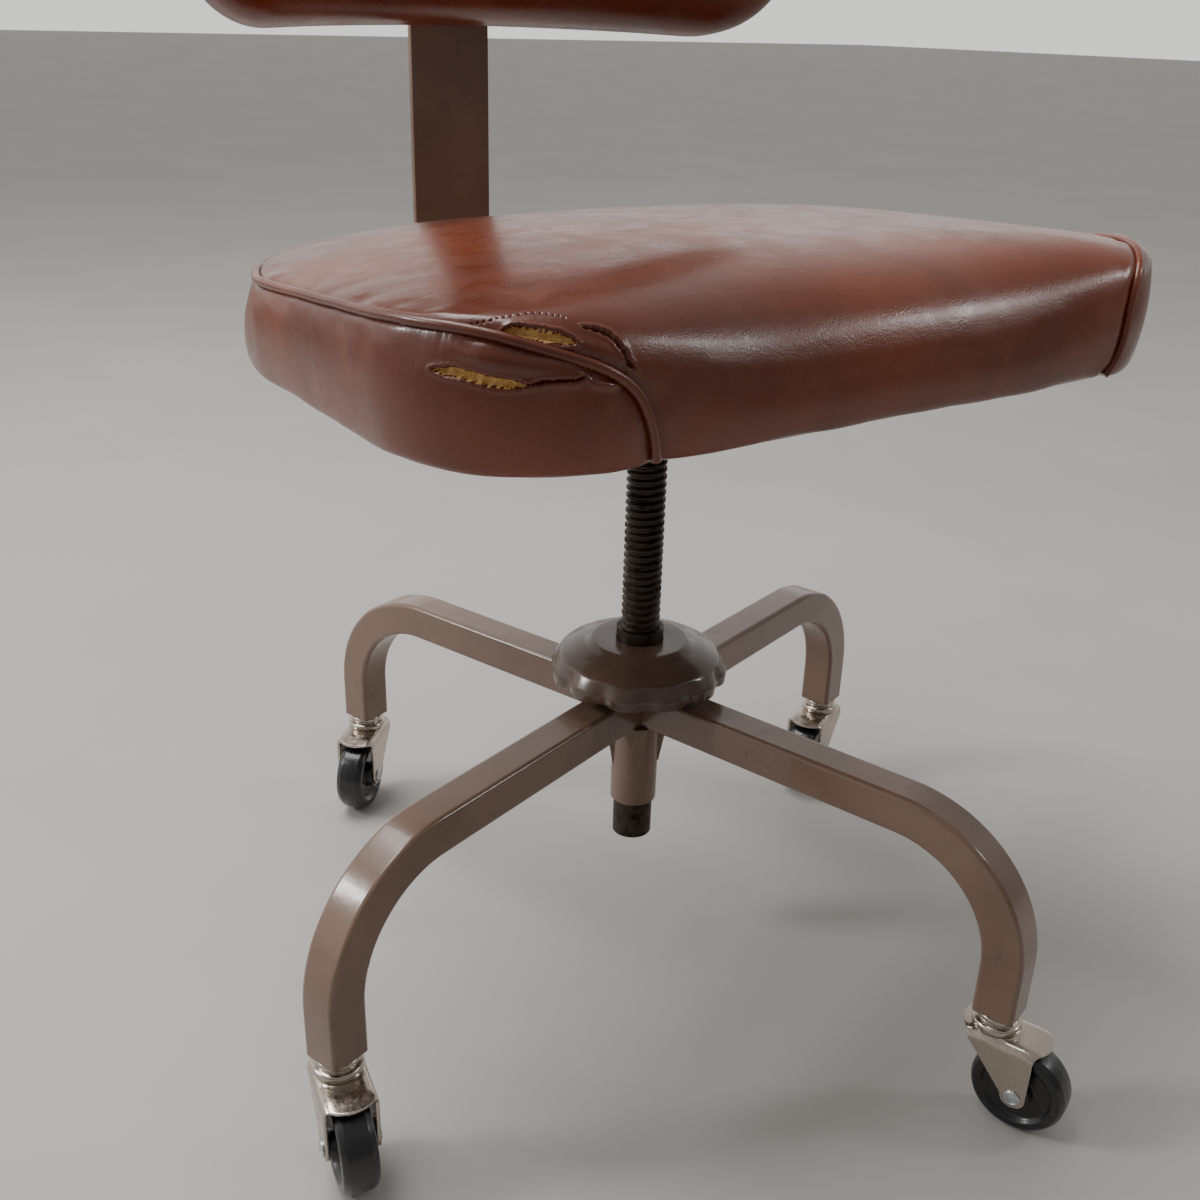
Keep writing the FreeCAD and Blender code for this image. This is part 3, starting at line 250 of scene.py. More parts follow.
def join(target: bmesh.types.BMesh, source: bmesh.types.BMesh, place: Matrix) -> None:
    """Add a placed copy of one mesh to another."""
    held = bpy.data.meshes.new("copy")
    source.to_mesh(held)
    held.transform(place)
    target.from_mesh(held)
    bpy.data.meshes.remove(held)


def sweep(path: Sequence[Vector], radius: float, sides: int = 12) -> bmesh.types.BMesh:
    """Carry a circle along a path and cap its ends.

    Args:
        path: Points in order, close enough together to be smooth.
        radius: The tube's radius.
        sides: How many sides the tube has.

    Returns:
        A closed tube.
    """
    bm = bmesh.new()
    ring = bmesh.ops.create_circle(bm, cap_ends=False, radius=radius, segments=sides)["verts"]
    edges = list({edge for vert in ring for edge in vert.link_edges})
    first = list(ring)
    tangent = (path[1] - path[0]).normalized()
    turn = Vector((0, 0, 1)).rotation_difference(tangent)
    for vert in ring:
        vert.co = path[0] + turn @ vert.co
    for index in range(1, len(path)):
        made = bmesh.ops.extrude_edge_only(bm, edges=edges)["geom"]
        ring = [item for item in made if isinstance(item, bmesh.types.BMVert)]
        edges = [item for item in made if isinstance(item, bmesh.types.BMEdge)
                 and item.verts[0] in ring and item.verts[1] in ring]
        after = path[min(index + 1, len(path) - 1)] - path[index - 1]
        bend = tangent.rotation_difference(after.normalized())
        tangent = after.normalized()
        for vert in ring:
            vert.co = path[index] + bend @ (vert.co - path[index - 1])
    bmesh.ops.contextual_create(bm, geom=first)
    bmesh.ops.contextual_create(bm, geom=ring)
    bmesh.ops.recalc_face_normals(bm, faces=bm.faces)
    return bm


def smooth_path(points: Sequence[Vector], step: float) -> list[Vector]:
    """Carry a Catmull-Rom curve through points, in steps of about one length."""
    padded = [points[0] * 2 - points[1], *points, points[-1] * 2 - points[-2]]
    line: list[Vector] = []
    for a, b, c, d in zip(padded, padded[1:], padded[2:], padded[3:]):
        count = max(2, int((c - b).length / step))
        for number in range(count):
            s = number / count
            line.append(0.5 * ((2 * b) + (c - a) * s + (2 * a - 5 * b + 4 * c - d) * s * s
                               + (3 * b - a - 3 * c + d) * s ** 3))
    return line + [points[-1].copy()]


# ------------------------------------------------------------------ materials

def tint(red: int, green: int, blue: int) -> Colour:
    """Turn a display colour from 0 to 255 into a linear one."""
    def linear(level: int) -> float:
        share = level / 255
        return share / 12.92 if share <= 0.04045 else ((share + 0.055) / 1.055) ** 2.4
    return (linear(red), linear(green), linear(blue), 1.0)


class Tree:
    """The nodes of one material, with short ways to add the usual ones."""

    def __init__(self, name: str) -> None:
        """Start a material with its Principled shader."""
        self.material = bpy.data.materials.new(name)
        self.material.use_nodes = True
        self.nodes = self.material.node_tree.nodes
        self.links = self.material.node_tree.links
        self.shader = self.nodes["Principled BSDF"]

    def add(self, kind: str, settings: dict | None = None, **inputs: object) -> bpy.types.Node:
        """Add a node.

        Args:
            kind: The node's type name without its ShaderNode start.
            settings: Properties of the node.
            **inputs: Its inputs by name, with _ for a space. Each is a socket or a value.

        Returns:
            The node.
        """
        node = self.nodes.new("ShaderNode" + kind)
        for key, value in (settings or {}).items():
            setattr(node, key, value)
        for key, value in inputs.items():
            self.feed(node.inputs[key.replace("_", " ")], value)
        return node

    def feed(self, socket: Socket, value: object) -> None:
        """Link a socket to an input, or set the input's value."""
        if isinstance(value, bpy.types.NodeSocket):
            self.links.new(value, socket)
        else:
            socket.default_value = value

    def surface(self, **inputs: object) -> None:
        """Set or link the Principled shader's inputs."""
        for key, value in inputs.items():
            self.feed(self.shader.inputs[key.replace("_", " ")], value)

    def place(self, scale: Sequence[float] = (1, 1, 1), turn: Sequence[float] = (0, 0, 0),
              source: str = "Object") -> Socket:
        """Give texture coordinates, stretched and turned."""
        coords = self.add("TexCoord").outputs[source]
        return self.add("Mapping", Vector=coords, Scale=scale, Rotation=turn).outputs["Vector"]

    def noise(self, scale: float, detail: float = 3.0, rough: float = 0.5, where: Socket | None = None,
              warp: float = 0.0) -> Socket:
        """Add fractal noise and give its factor."""
        where = where or self.place()
        return self.add("TexNoise", Vector=where, Scale=scale, Detail=detail, Roughness=rough,
                        Distortion=warp).outputs["Fac"]

    def cells(self, scale: float, where: Socket | None = None, feature: str = "F1") -> Socket:
        """Add Voronoi cells and give the distance."""
        where = where or self.place()
        return self.add("TexVoronoi", {"feature": feature}, Vector=where, Scale=scale).outputs["Distance"]

    def between(self, factor: Socket | float, low: object, high: object) -> Socket:
        """Mix two colours."""
        node = self.add("Mix", {"data_type": "RGBA"})
        self.feed(node.inputs["Factor"], factor)
        self.feed(node.inputs[6], low)
        self.feed(node.inputs[7], high)
        return node.outputs[2]

    def spread(self, value: Socket, low: float, high: float, to_low: float = 0.0,
               to_high: float = 1.0) -> Socket:
        """Map a span of a value to another span, and clamp it."""
        node = self.add("MapRange", {"interpolation_type": "SMOOTHSTEP"}, Value=value)
        for key, amount in zip(("From Min", "From Max", "To Min", "To Max"), (low, high, to_low, to_high)):
            node.inputs[key].default_value = amount
        return node.outputs["Result"]

    def sums(self, how: Joining, first: object, second: object) -> Socket:
        """Add or multiply two values."""
        node = self.add("Math", {"operation": how.value})
        self.feed(node.inputs[0], first)
        self.feed(node.inputs[1], second)
        return node.outputs["Value"]

    def relief(self, *layers: tuple[Socket, float]) -> Socket:
        """Stack bumps from the lowest up, each a height and a depth in metres."""
        normal = None
        for height, depth in layers:
            node = self.add("Bump", Height=height, Distance=depth)
            if normal is not None:
                self.links.new(normal, node.inputs["Normal"])
            normal = node.outputs["Normal"]
        return normal


@dataclass(frozen=True)
class Finish:
    """A surface finish that makes its own material once."""

    name: str
    slot: str | None

    def paint(self, tree: Tree) -> None:
        """Fill the material's nodes."""
        raise NotImplementedError

    def material(self) -> bpy.types.Material:
        """Give the finish's material, made on first use."""
        found = bpy.data.materials.get(self.name)
        if found is None:
            tree = Tree(self.name)
            self.paint(tree)
            found = tree.material
        return found

    def coat(self, *pieces: bpy.types.Object) -> None:
        """Put the finish on pieces in place of what they have."""
        for piece in pieces:
            piece.data.materials.clear()
            piece.data.materials.append(self.material())


@dataclass(frozen=True)
class Vinyl(Finish):
    """Upholstery vinyl with a fine grain, worn patches and hairline creases."""

    deep: Colour
    warm: Colour
    pale: Colour

    def paint(self, tree: Tree) -> None:
        """Fill the material's nodes."""
        patches = tree.spread(tree.noise(9, 3, 0.5), 0.3, 0.7)
        clouds = tree.noise(42, 5, 0.65, warp=0.6)
        base = tree.between(patches, self.deep, self.warm)
        rubbed = tree.spread(clouds, 0.52, 0.74, 0.0, 0.35)
        base = tree.between(rubbed, base, self.pale)
        dirt = tree.spread(tree.noise(160, 3, 0.7), 0.6, 0.78, 0.0, 0.25)
        base = tree.between(dirt, base, tint(58, 30, 22))
        grain = tree.cells(1500, feature="SMOOTH_F1")
        crackle = tree.noise(420, 4, 0.6, tree.place((1, 2.4, 1), (0, 0, 0.5)))
        long_creases = tree.noise(34, 5, 0.62, tree.place((1, 3.2, 1.4), (0, 0, 0.9)), warp=0.8)
        bump = tree.relief((long_creases, 0.0002), (crackle, 0.00008), (grain, 0.00005))
        rough = tree.spread(clouds, 0.3, 0.7, 0.24, 0.36)
        tree.surface(Base_Color=base, Roughness=rough, Normal=bump, Coat_Weight=0.12,
                     Coat_Roughness=0.16, Specular_IOR_Level=0.5)


@dataclass(frozen=True)
class Enamel(Finish):
    """Gloss paint over steel, with a little orange peel, grime and small chips."""

    colour: Colour
    shade: Colour

    def paint(self, tree: Tree) -> None:
        """Fill the material's nodes."""
        drift = tree.spread(tree.noise(7, 3, 0.6), 0.35, 0.65)
        base = tree.between(drift, self.shade, self.colour)
        grime = tree.spread(tree.noise(70, 5, 0.7), 0.56, 0.74, 0.0, 0.45)
        base = tree.between(grime, base, tint(74, 58, 50))
        chips = tree.spread(tree.noise(230, 4, 0.75), 0.745, 0.77)
        base = tree.between(chips, base, tint(48, 36, 30))
        bump = tree.relief((tree.noise(45, 2, 0.4), 0.0003), (tree.noise(330, 2, 0.4), 0.00005))
        rough = tree.sums(Joining.ADD, tree.spread(grime, 0.0, 0.45, 0.24, 0.4),
                          tree.sums(Joining.MULTIPLY, chips, 0.2))
        tree.surface(Base_Color=base, Roughness=rough, Normal=bump, Coat_Weight=0.3,
                     Coat_Roughness=0.08)


@dataclass(frozen=True)
class Metal(Finish):
    """Bare or plated metal with stains and fine brushing."""

    colour: Colour
    stain: Colour
    smooth: float
    dull: float
    stained: float
    bright: float = 1.0

    def paint(self, tree: Tree) -> None:
        """Fill the material's nodes."""
        blotches = tree.noise(95, 5, 0.7)
        spots = tree.spread(blotches, 0.62 - self.stained, 0.8 - self.stained)
        base = tree.between(spots, self.colour, self.stain)
        haze = tree.spread(tree.noise(260, 4, 0.6), 0.3, 0.7, self.smooth, self.dull)
        rough = tree.sums(Joining.ADD, haze, tree.sums(Joining.MULTIPLY, spots, 0.2))
        scratches = tree.noise(900, 3, 0.6, tree.place((0.15, 1, 1), (0.3, 0.5, 0.7)))
        bump = tree.relief((blotches, 0.00012), (scratches, 0.00003))
        tree.surface(Base_Color=base, Metallic=self.bright, Roughness=rough, Normal=bump)


@dataclass(frozen=True)
class HardRubber(Finish):
    """Glossy black wheel rubber, scuffed round its tread."""

    def paint(self, tree: Tree) -> None:
        """Fill the material's nodes."""
        round_the_tread = tree.place((14, 900, 1), source="UV")
        scuffs = tree.noise(3.2, 5, 0.7, round_the_tread)
        marks = tree.spread(scuffs, 0.52, 0.72)
        dust = tree.spread(tree.noise(120, 4, 0.65), 0.55, 0.8, 0.0, 0.3)
        worn = tree.sums(Joining.MULTIPLY, marks, 0.55)
        base = tree.between(worn, tint(20, 20, 23), tint(74, 66, 62))
        base = tree.between(dust, base, tint(52, 47, 46))
        rough = tree.spread(scuffs, 0.35, 0.75, 0.2, 0.46)
        bump = tree.relief((scuffs, 0.00012), (tree.noise(500, 3, 0.6), 0.00004))
        tree.surface(Base_Color=base, Roughness=rough, Normal=bump, Coat_Weight=0.35, Coat_Roughness=0.18)


@dataclass(frozen=True)
class Foam(Finish):
    """Old yellowed foam rubber, torn and full of pores."""

    def paint(self, tree: Tree) -> None:
        """Fill the material's nodes."""
        pores = tree.cells(700)
        crumb = tree.noise(260, 6, 0.75)
        base = tree.between(tree.spread(crumb, 0.35, 0.65), tint(204, 154, 88), tint(240, 198, 130))
        base = tree.between(tree.spread(pores, 0.0, 0.35, 0.5, 0.0), base, tint(130, 88, 44))
        bump = tree.relief((crumb, 0.0012), (pores, 0.0004))
        tree.surface(Base_Color=base, Roughness=0.95, Normal=bump, Subsurface_Weight=0.15,
                     Subsurface_Radius=(0.003, 0.002, 0.001), Specular_IOR_Level=0.2)


@dataclass(frozen=True)
class Plywood(Finish):
    """Plies of pale wood, with their lines along the edges."""

    def paint(self, tree: Tree) -> None:
        """Fill the material's nodes."""
        figure = tree.noise(26, 6, 0.6, tree.place((6, 0.6, 3)), warp=0.5)
        base = tree.between(tree.spread(figure, 0.35, 0.65), tint(150, 110, 70), tint(196, 158, 110))
        plies = tree.add("TexWave", {"bands_direction": "Z"}, Vector=tree.place(), Scale=120.0).outputs["Fac"]
        base = tree.between(tree.sums(Joining.MULTIPLY, plies, 0.4), base, tint(112, 78, 48))
        tree.surface(Base_Color=base, Roughness=0.75, Normal=tree.relief((figure, 0.0002)))


@dataclass(frozen=True)
class Cambric(Finish):
    """Thin black dust cloth with an open weave."""

    def paint(self, tree: Tree) -> None:
        """Fill the material's nodes."""
        bands = []
        for direction in ("X", "Y"):
            wave = tree.add("TexWave", {"bands_direction": direction}, Vector=tree.place(), Scale=260.0,
                            Distortion=1.5)
            bands.append(wave.outputs["Fac"])
        weave = tree.sums(Joining.MULTIPLY, *bands)
        worn = tree.spread(tree.noise(18, 4, 0.6), 0.4, 0.7)
        base = tree.between(worn, tint(26, 25, 26), tint(52, 50, 50))
        base = tree.between(tree.spread(weave, 0.0, 0.6), tint(12, 12, 13), base)
        tree.surface(Base_Color=base, Roughness=0.9, Normal=tree.relief((weave, 0.0002)))


@dataclass(frozen=True)
class Phenolic(Finish):
    """Moulded black plastic, a little cloudy with age."""

    def paint(self, tree: Tree) -> None:
        """Fill the material's nodes."""
        clouds = tree.noise(60, 4, 0.6)
        base = tree.between(tree.spread(clouds, 0.4, 0.7), tint(24, 21, 20), tint(46, 39, 36))
        rough = tree.spread(clouds, 0.35, 0.7, 0.26, 0.42)
        bump = tree.relief((tree.noise(420, 3, 0.5), 0.00005))
        tree.surface(Base_Color=base, Roughness=rough, Normal=bump)


SEAT_VINYL = Vinyl("seat_vinyl", "brown_vinyl", tint(91, 41, 25), tint(122, 56, 30), tint(128, 70, 46))
TAUPE = Enamel("taupe_gloss", "taupe_enamel", tint(124, 99, 84), tint(110, 86, 72))
# A darker copy of the taupe enamel: painted shade for the handwheel, which sits under the seat
SHADED_TAUPE = Enamel("shaded_taupe", "taupe_enamel", tint(104, 82, 69), tint(78, 60, 50))
NICKEL = Metal("aged_nickel", "caster_nickel", tint(190, 179, 168), tint(136, 118, 104), 0.16, 0.3, 0.0)
ZINC = Metal("zinc_plate", "bright_zinc", tint(200, 204, 208), tint(150, 150, 146), 0.24, 0.4, 0.0)
BEARING = Metal("ground_steel", "bearing_steel", tint(176, 176, 174), tint(98, 82, 66), 0.16, 0.3, 0.08)
OILED = Metal("oiled_thread", "oiled_screw", tint(66, 56, 48), tint(38, 26, 18), 0.34, 0.52, 0.14, 0.85)
BRONZE = Metal("sintered_bronze", "bronze", tint(170, 122, 70), tint(92, 62, 38), 0.3, 0.45, 0.1)
RUBBER = HardRubber("wheel_rubber", "wheel_black")
FOAM = Foam("yellowed_foam", None)
PLY = Plywood("plywood_edge", "plywood")
CLOTH = Cambric("cambric", "dust_cloth")
BAKELITE = Phenolic("knob_phenolic", "knob_black")


# ------------------------------------------------------------------ base

@dataclass
class Base:
    """Legs, hub and lift bearing, which keep their CAD shapes."""

    def dress(self) -> None:
        """Give each carried-over node its finish."""
        nodes = frame["nodes"]
        TAUPE.coat(*(nodes[f"leg_{corner.value}"] for corner in Corner),
                   nodes["hub_tube"], nodes["hub_gussets"])
        OILED.coat(nodes["spindle_guide"], nodes["guide_bolt"], nodes["guide_washer"], nodes["lift_nut"])
        BEARING.coat(nodes["bearing_lower_race"], nodes["bearing_upper_race"], nodes["bearing_balls"],
                     nodes["caster_balls"], nodes["handwheel_grub_screw"])
        ZINC.coat(nodes["caster_stems"])
        BEARING.coat(nodes["caster_sockets"])
        LOG.info("base dressed")


# ------------------------------------------------------------------ casters

@dataclass
class Caster:
    """One swivel caster: stamped fork, riveted axle, bushed wheel."""

    corner: Corner
    plate: float = 2.2
    half_inside: float = 13.5
    crown_radius: float = 18.5
    crown_top: float = 63.6
    fold: float = 4.2
    hood: float = 34.0
    hood_bow: float = 6.0
    tail_radius: float = 7.5
    trail: float = 20.5
    wheel_radius: float = 28.6
    tread: float = 10.5
    axle_radius: float = 3.2
    head_radius: float = 5.0
    head_rise: float = 2.0
    boss_rise: float = 0.7
    boss_foot: float = 3.2
    boss_shoulder: float = 4.6
    hood_droop: float = 1.6
    wheel_bore: float = 4.8
    boss_play: float = 0.4

    @property
    def name(self) -> str:
        """The start of the names of the caster's nodes, joints and pieces."""
        return f"caster_{self.corner.value}"

    @property
    def swivel(self) -> Vector:
        """The swivel axis's place on the floor."""
        spot = joint_place(f"{self.name}_swivel")
        return Vector((spot.x, spot.y, 0))

    @property
    def placed(self) -> Matrix:
        """The placement that turns the caster to its heading."""
        axle = joint_place(f"{self.name}_roll")
        ahead = Vector((axle.x, axle.y, 0)) - self.swivel
        return Matrix.Translation(self.swivel) @ Matrix.Rotation(math.atan2(ahead.y, ahead.x), 4, "Z")

    def stamped_edge(self, y: float, z: float) -> Point:
        """Give where the stamping starts and ends along X at one place of its section.

        Args:
            y: Distance from the middle plane.
            z: Height of the sheet there.

        Returns:
            The rear and front limits.
        """
        shoulder = self.crown_top - self.plate / 2 - self.fold
        half = self.half_inside + self.plate / 2
        rear = -math.sqrt(max(self.crown_radius ** 2 - y * y, 0))
        front = self.hood - self.hood_bow * (y / half) ** 2
        if z >= shoulder - 1e-6:
            return rear, front
        if z >= self.wheel_radius:
            share = (shoulder - z) / (shoulder - self.wheel_radius)
            low = self.trail - self.tail_radius
            return rear + (low - rear) * share, front + (self.trail + self.tail_radius - front) * share ** 0.4
        reach = math.sqrt(max(self.tail_radius ** 2 - (self.wheel_radius - z) ** 2, 0))
        return self.trail - reach, self.trail + reach

    def fork(self) -> bpy.types.Object:
        """Fold a sheet over the wheel: a round crown, a bowed hood and two tapered cheeks."""
        half = self.half_inside + self.plate / 2
        flat = half - self.fold
        arc = self.fold * math.pi / 2
        top = self.crown_top - self.plate / 2
        drop = top - self.fold - (self.wheel_radius - self.tail_radius)
        length = flat + arc + drop
        bm = bmesh.new()
        bmesh.ops.create_grid(bm, x_segments=40, y_segments=72, size=1.0)

        def fold_over(spot: Vector) -> Vector:
            along = abs(spot.y) * length
            side = 1 if spot.y >= 0 else -1
            if along <= flat:
                y, z = along, top
            elif along <= flat + arc:
                angle = (along - flat) / self.fold
                y = flat + self.fold * math.sin(angle)
                z = top - self.fold * (1 - math.cos(angle))
            else:
                y, z = half, top - self.fold - (along - flat - arc)
            rear, front = self.stamped_edge(y, z)
            x = rear + (front - rear) * (spot.x + 1) / 2
            edge = self.crown_radius
            boss = self.boss_rise * (
                1 - smoothstep(edge - self.boss_shoulder, edge - self.boss_foot, math.hypot(x, y)))
            droop = self.hood_droop * smoothstep(edge, self.hood, x) ** 2
            if along < flat + arc:
                z += boss - droop
            return Vector((x, y * side, z))

        move(bm, fold_over)
        bmesh.ops.remove_doubles(bm, verts=bm.verts, dist=0.02)
        bmesh.ops.recalc_face_normals(bm, faces=bm.faces)
        if sum(face.normal.z * face.calc_area() for face in bm.faces) < 0:
            bmesh.ops.reverse_faces(bm, faces=bm.faces)
        piece = finish_mesh(bm, f"{self.name}_fork_stamping", crease=50, place=self.placed)
        thick = piece.modifiers.new("sheet", "SOLIDIFY")
        thick.thickness = self.plate * MM
        thick.offset = 0.0
        edges = piece.modifiers.new("edges", "BEVEL")
        edges.width = 0.4 * MM
        edges.segments = 2
        edges.limit_method = "ANGLE"
        edges.angle_limit = math.radians(50)
        return piece

    def along_axle(self) -> Matrix:
        """The placement of a piece turned about the wheel's axis."""
        lay = Matrix.Translation((self.trail, 0, self.wheel_radius)) @ Matrix.Rotation(-math.pi / 2, 4, "X")
        return self.placed @ lay

    def axle(self) -> bpy.types.Object:
        """Turn the rivet with its two domed heads."""
        outside = self.half_inside + self.plate
        side = rounded([(self.axle_radius, outside - 1), (self.axle_radius, outside, 0.2),
                        (self.head_radius, outside, 0.3),
                        (self.head_radius, outside + self.head_rise * 0.45, 0.5),
                        (self.head_radius * 0.62, outside + self.head_rise, 1.2)])[1:]
        top = side + [(0.0, outside + self.head_rise)]
        bm = spin_outline([(r, -z) for r, z in reversed(top)] + top, closed=False, steps=40)
        return finish_mesh(bm, f"{self.name}_rivet", place=self.along_axle())

    def wheel(self) -> bpy.types.Object:
        """Turn the wheel: a crowned tread, rounded shoulders, a dished side and a boss."""
        boss = self.half_inside - self.boss_play
        rim = self.wheel_radius
        side = [(self.wheel_bore, boss, 0.3), (9.0, boss, 0.8), (10.0, self.tread - 3.4, 1.2),
                (19.5, self.tread - 3.0, 2.0), (21.6, self.tread, 1.6),
                (rim - 2.6, self.tread, 2.6), (rim - 0.35, self.tread * 0.62, 3.2)]
        outline = side + [(rim, 0.0, 12.0)] + [(r, -z, f) for r, z, f in reversed(side)]
        bm = spin_outline(rounded(outline, 5), closed=True, steps=112)
        wrap_uv(bm, rim)
        return finish_mesh(bm, f"{self.name}_tyre", place=self.along_axle())

    def build(self) -> None:
        """Make the pieces and put them on their bodies."""
        fork, axle, wheel = self.fork(), self.axle(), self.wheel()
        stand_for(fork, f"{self.name}_fork")
        stand_for(axle, f"{self.name}_axle")
        stand_for(wheel, f"{self.name}_wheel")
        NICKEL.coat(fork)
        ZINC.coat(axle)
        RUBBER.coat(wheel)
        BRONZE.coat(frame["nodes"][f"{self.name}_bushing"])
        LOG.info("%s built", self.name)


@dataclass
class StemCaps:
    """The pressed rings between each leg's end and its fork."""

    bore: float = 5.55
    upper_radius: float = 12.6
    lower_radius: float = 14.6
    bottom: float = 64.4
    middle: float = 69.8
    top: float = 75.0

    def build(self) -> None:
        """Turn one ring and set a copy over each caster."""
        outline = rounded([
            (self.bore, self.middle - 2.4), (self.lower_radius - 1.8, self.middle - 2.4, 0.3),
            (self.lower_radius - 1.8, self.bottom, 0.3), (self.lower_radius, self.bottom, 0.8),
            (self.lower_radius + 0.1, self.middle - 1.4, 2.2), (self.upper_radius - 2.2, self.middle, 0.9),
            (self.upper_radius, self.middle + 1.2, 1.4), (self.upper_radius, self.top - 1.2, 1.4),
            (self.upper_radius - 3.0, self.top, 1.0), (self.bore, self.top)], 6)
        ring = spin_outline(outline, closed=True, steps=72)
        bm = bmesh.new()
        for corner in Corner:
            join(bm, ring, Caster(corner).placed)
        ring.free()
        piece = finish_mesh(bm, "stem_rings")
        stand_for(piece, "caster_caps")
        NICKEL.coat(piece)
        LOG.info("stem rings built")


# ------------------------------------------------------------------ lift

@dataclass
class LiftScrew:
    """The screw: a true right-hand thread between a pilot and a plain top."""

    outer: float = 12.7
    depth: float = 2.2
    pitch: float = 5.08
    start: float = 118.0
    end: float = 388.0
    pilot_radius: float = 8.0
    pilot_bottom: float = 92.0
    pilot_top: float = 112.2
    shoulder: float = 392.0
    top_radius: float = 11.0
    steps: int = 36

    def threaded(self) -> bmesh.types.BMesh:
        """Carry one tooth's outline round a helix, stack its turns, cut both ends flat and cap them."""
        root, crest = self.outer - self.depth, self.outer
        tooth = [(root, 0.0), (root, 0.14), (crest - 0.25, 0.36), (crest, 0.42), (crest, 0.64),
                 (crest - 0.25, 0.70), (root, 0.92), (root, 1.0)]
        turns = math.ceil((self.end - self.start) / self.pitch) + 2
        turn = bmesh.new()
        low = self.start - self.pitch
        verts = [turn.verts.new((radius, 0, low + share * self.pitch)) for radius, share in tooth]
        edges = [turn.edges.new(pair) for pair in zip(verts, verts[1:])]
        bmesh.ops.spin(turn, geom=verts + edges, cent=(0, 0, 0), axis=(0, 0, 1),
                       dvec=(0, 0, self.pitch / self.steps), angle=math.tau, steps=self.steps,
                       use_merge=False, use_duplicate=False)
        bm = bmesh.new()
        for number in range(turns):
            join(bm, turn, Matrix.Translation((0, 0, self.pitch * number)))
        turn.free()
        bmesh.ops.remove_doubles(bm, verts=bm.verts, dist=0.01)
        for height, up in ((self.start, -1), (self.end, 1)):
            bmesh.ops.bisect_plane(bm, geom=list(bm.verts) + list(bm.edges) + list(bm.faces), dist=1e-4,
                                   plane_co=(0, 0, height), plane_no=(0, 0, up), clear_outer=True)
            rim = [edge for edge in bm.edges if edge.is_boundary
                   and all(abs(vert.co.z - height) < 1e-3 for vert in edge.verts)]
            bmesh.ops.contextual_create(bm, geom=rim)
        bmesh.ops.recalc_face_normals(bm, faces=bm.faces)
        return bm

    def build(self) -> None:
        """Join the thread to its plain ends."""
        bm = self.threaded()
        lower = spin_outline(rounded([(0, self.pilot_bottom), (self.pilot_radius, self.pilot_bottom, 0.8),
                                      (self.pilot_radius, self.pilot_top), (self.outer, self.pilot_top, 0.8),
                                      (self.outer, self.start, 0.5), (0, self.start)]),
                             closed=False, steps=48)
        high = corners_of("lift_screw")[1].z
        upper = spin_outline(rounded([(0, self.end), (self.outer, self.end, 0.5),
                                      (self.outer, self.shoulder, 0.5), (self.top_radius, self.shoulder),
                                      (self.top_radius, high, 0.8), (0, high)]),
                             closed=False, steps=48)
        for part in (lower, upper):
            join(bm, part, Matrix.Identity(4))
            part.free()
        piece = finish_mesh(bm, "threaded_spindle", crease=28)
        stand_for(piece, "lift_screw")
        OILED.coat(piece)
        LOG.info("lift screw built")


@dataclass
class Handwheel:
    """The domed height wheel with finger scallops round its skirt."""

    rim: float = 58.5
    rim_bottom: float = 205.5
    rim_top: float = 214.0
    crown: float = 33.5
    crown_top: float = 232.0
    bore: float = 15.55
    hub: float = 22.0
    hub_bottom: float = 209.4
    shell: float = 3.0
    lobes: int = 12
    scallop: float = 2.9

    def build(self) -> None:
        """Turn the dome, then press the scallops into its skirt."""
        outline = rounded([
            (self.bore, self.hub_bottom, 0.3), (self.hub, self.hub_bottom, 0.5),
            (self.hub + self.shell, self.crown_top - self.shell * 2.2, 2.0),
            (self.crown, self.crown_top - self.shell * 1.7, 3.0),
            (self.rim - self.shell * 2.8, self.rim_top - 0.5, 4.0),
            (self.rim - self.shell * 1.7, self.rim_bottom, 0.8),
            (self.rim - 0.6, self.rim_bottom, 1.4), (self.rim + 0.2, self.rim_top - 1.0, 6.0),
            (self.rim - 6.0, self.rim_top + 8.0, 9.0), (self.crown + 9.5, self.crown_top - 5.6, 8.0),
            (self.crown + 2.6, self.crown_top - 3.4, 3.6), (self.crown - 2.0, self.crown_top - 0.2, 5.0),
            (self.bore, self.crown_top, 0.4)], 6)
        bm = spin_outline(outline, closed=True, steps=self.lobes * 16)

        def scalloped(spot: Vector) -> Vector:
            radius = math.hypot(spot.x, spot.y)
            angle = math.atan2(spot.y, spot.x)
            valley = (0.5 + 0.5 * math.cos(self.lobes * angle)) ** 2.2
            weight = smoothstep(self.crown + 12, self.rim - 2, radius)
            weight *= 1 - smoothstep(self.rim_top + 1, self.rim_top + 9, spot.z)
            pinched = radius - self.scallop * valley * weight
            lift = 1.2 * valley * weight * (1 - smoothstep(self.rim_bottom, self.rim_bottom + 4, spot.z))
            return Vector((spot.x * pinched / radius, spot.y * pinched / radius, spot.z + lift))

        move(bm, scalloped)
        piece = finish_mesh(bm, "height_wheel", crease=40)
        stand_for(piece, "handwheel")
        # Painted shade: the handwheel takes the darker copy of the taupe enamel, standing for the shade under
        # the seat
        SHADED_TAUPE.coat(piece)
        LOG.info("handwheel built")


# ------------------------------------------------------------------ cushions

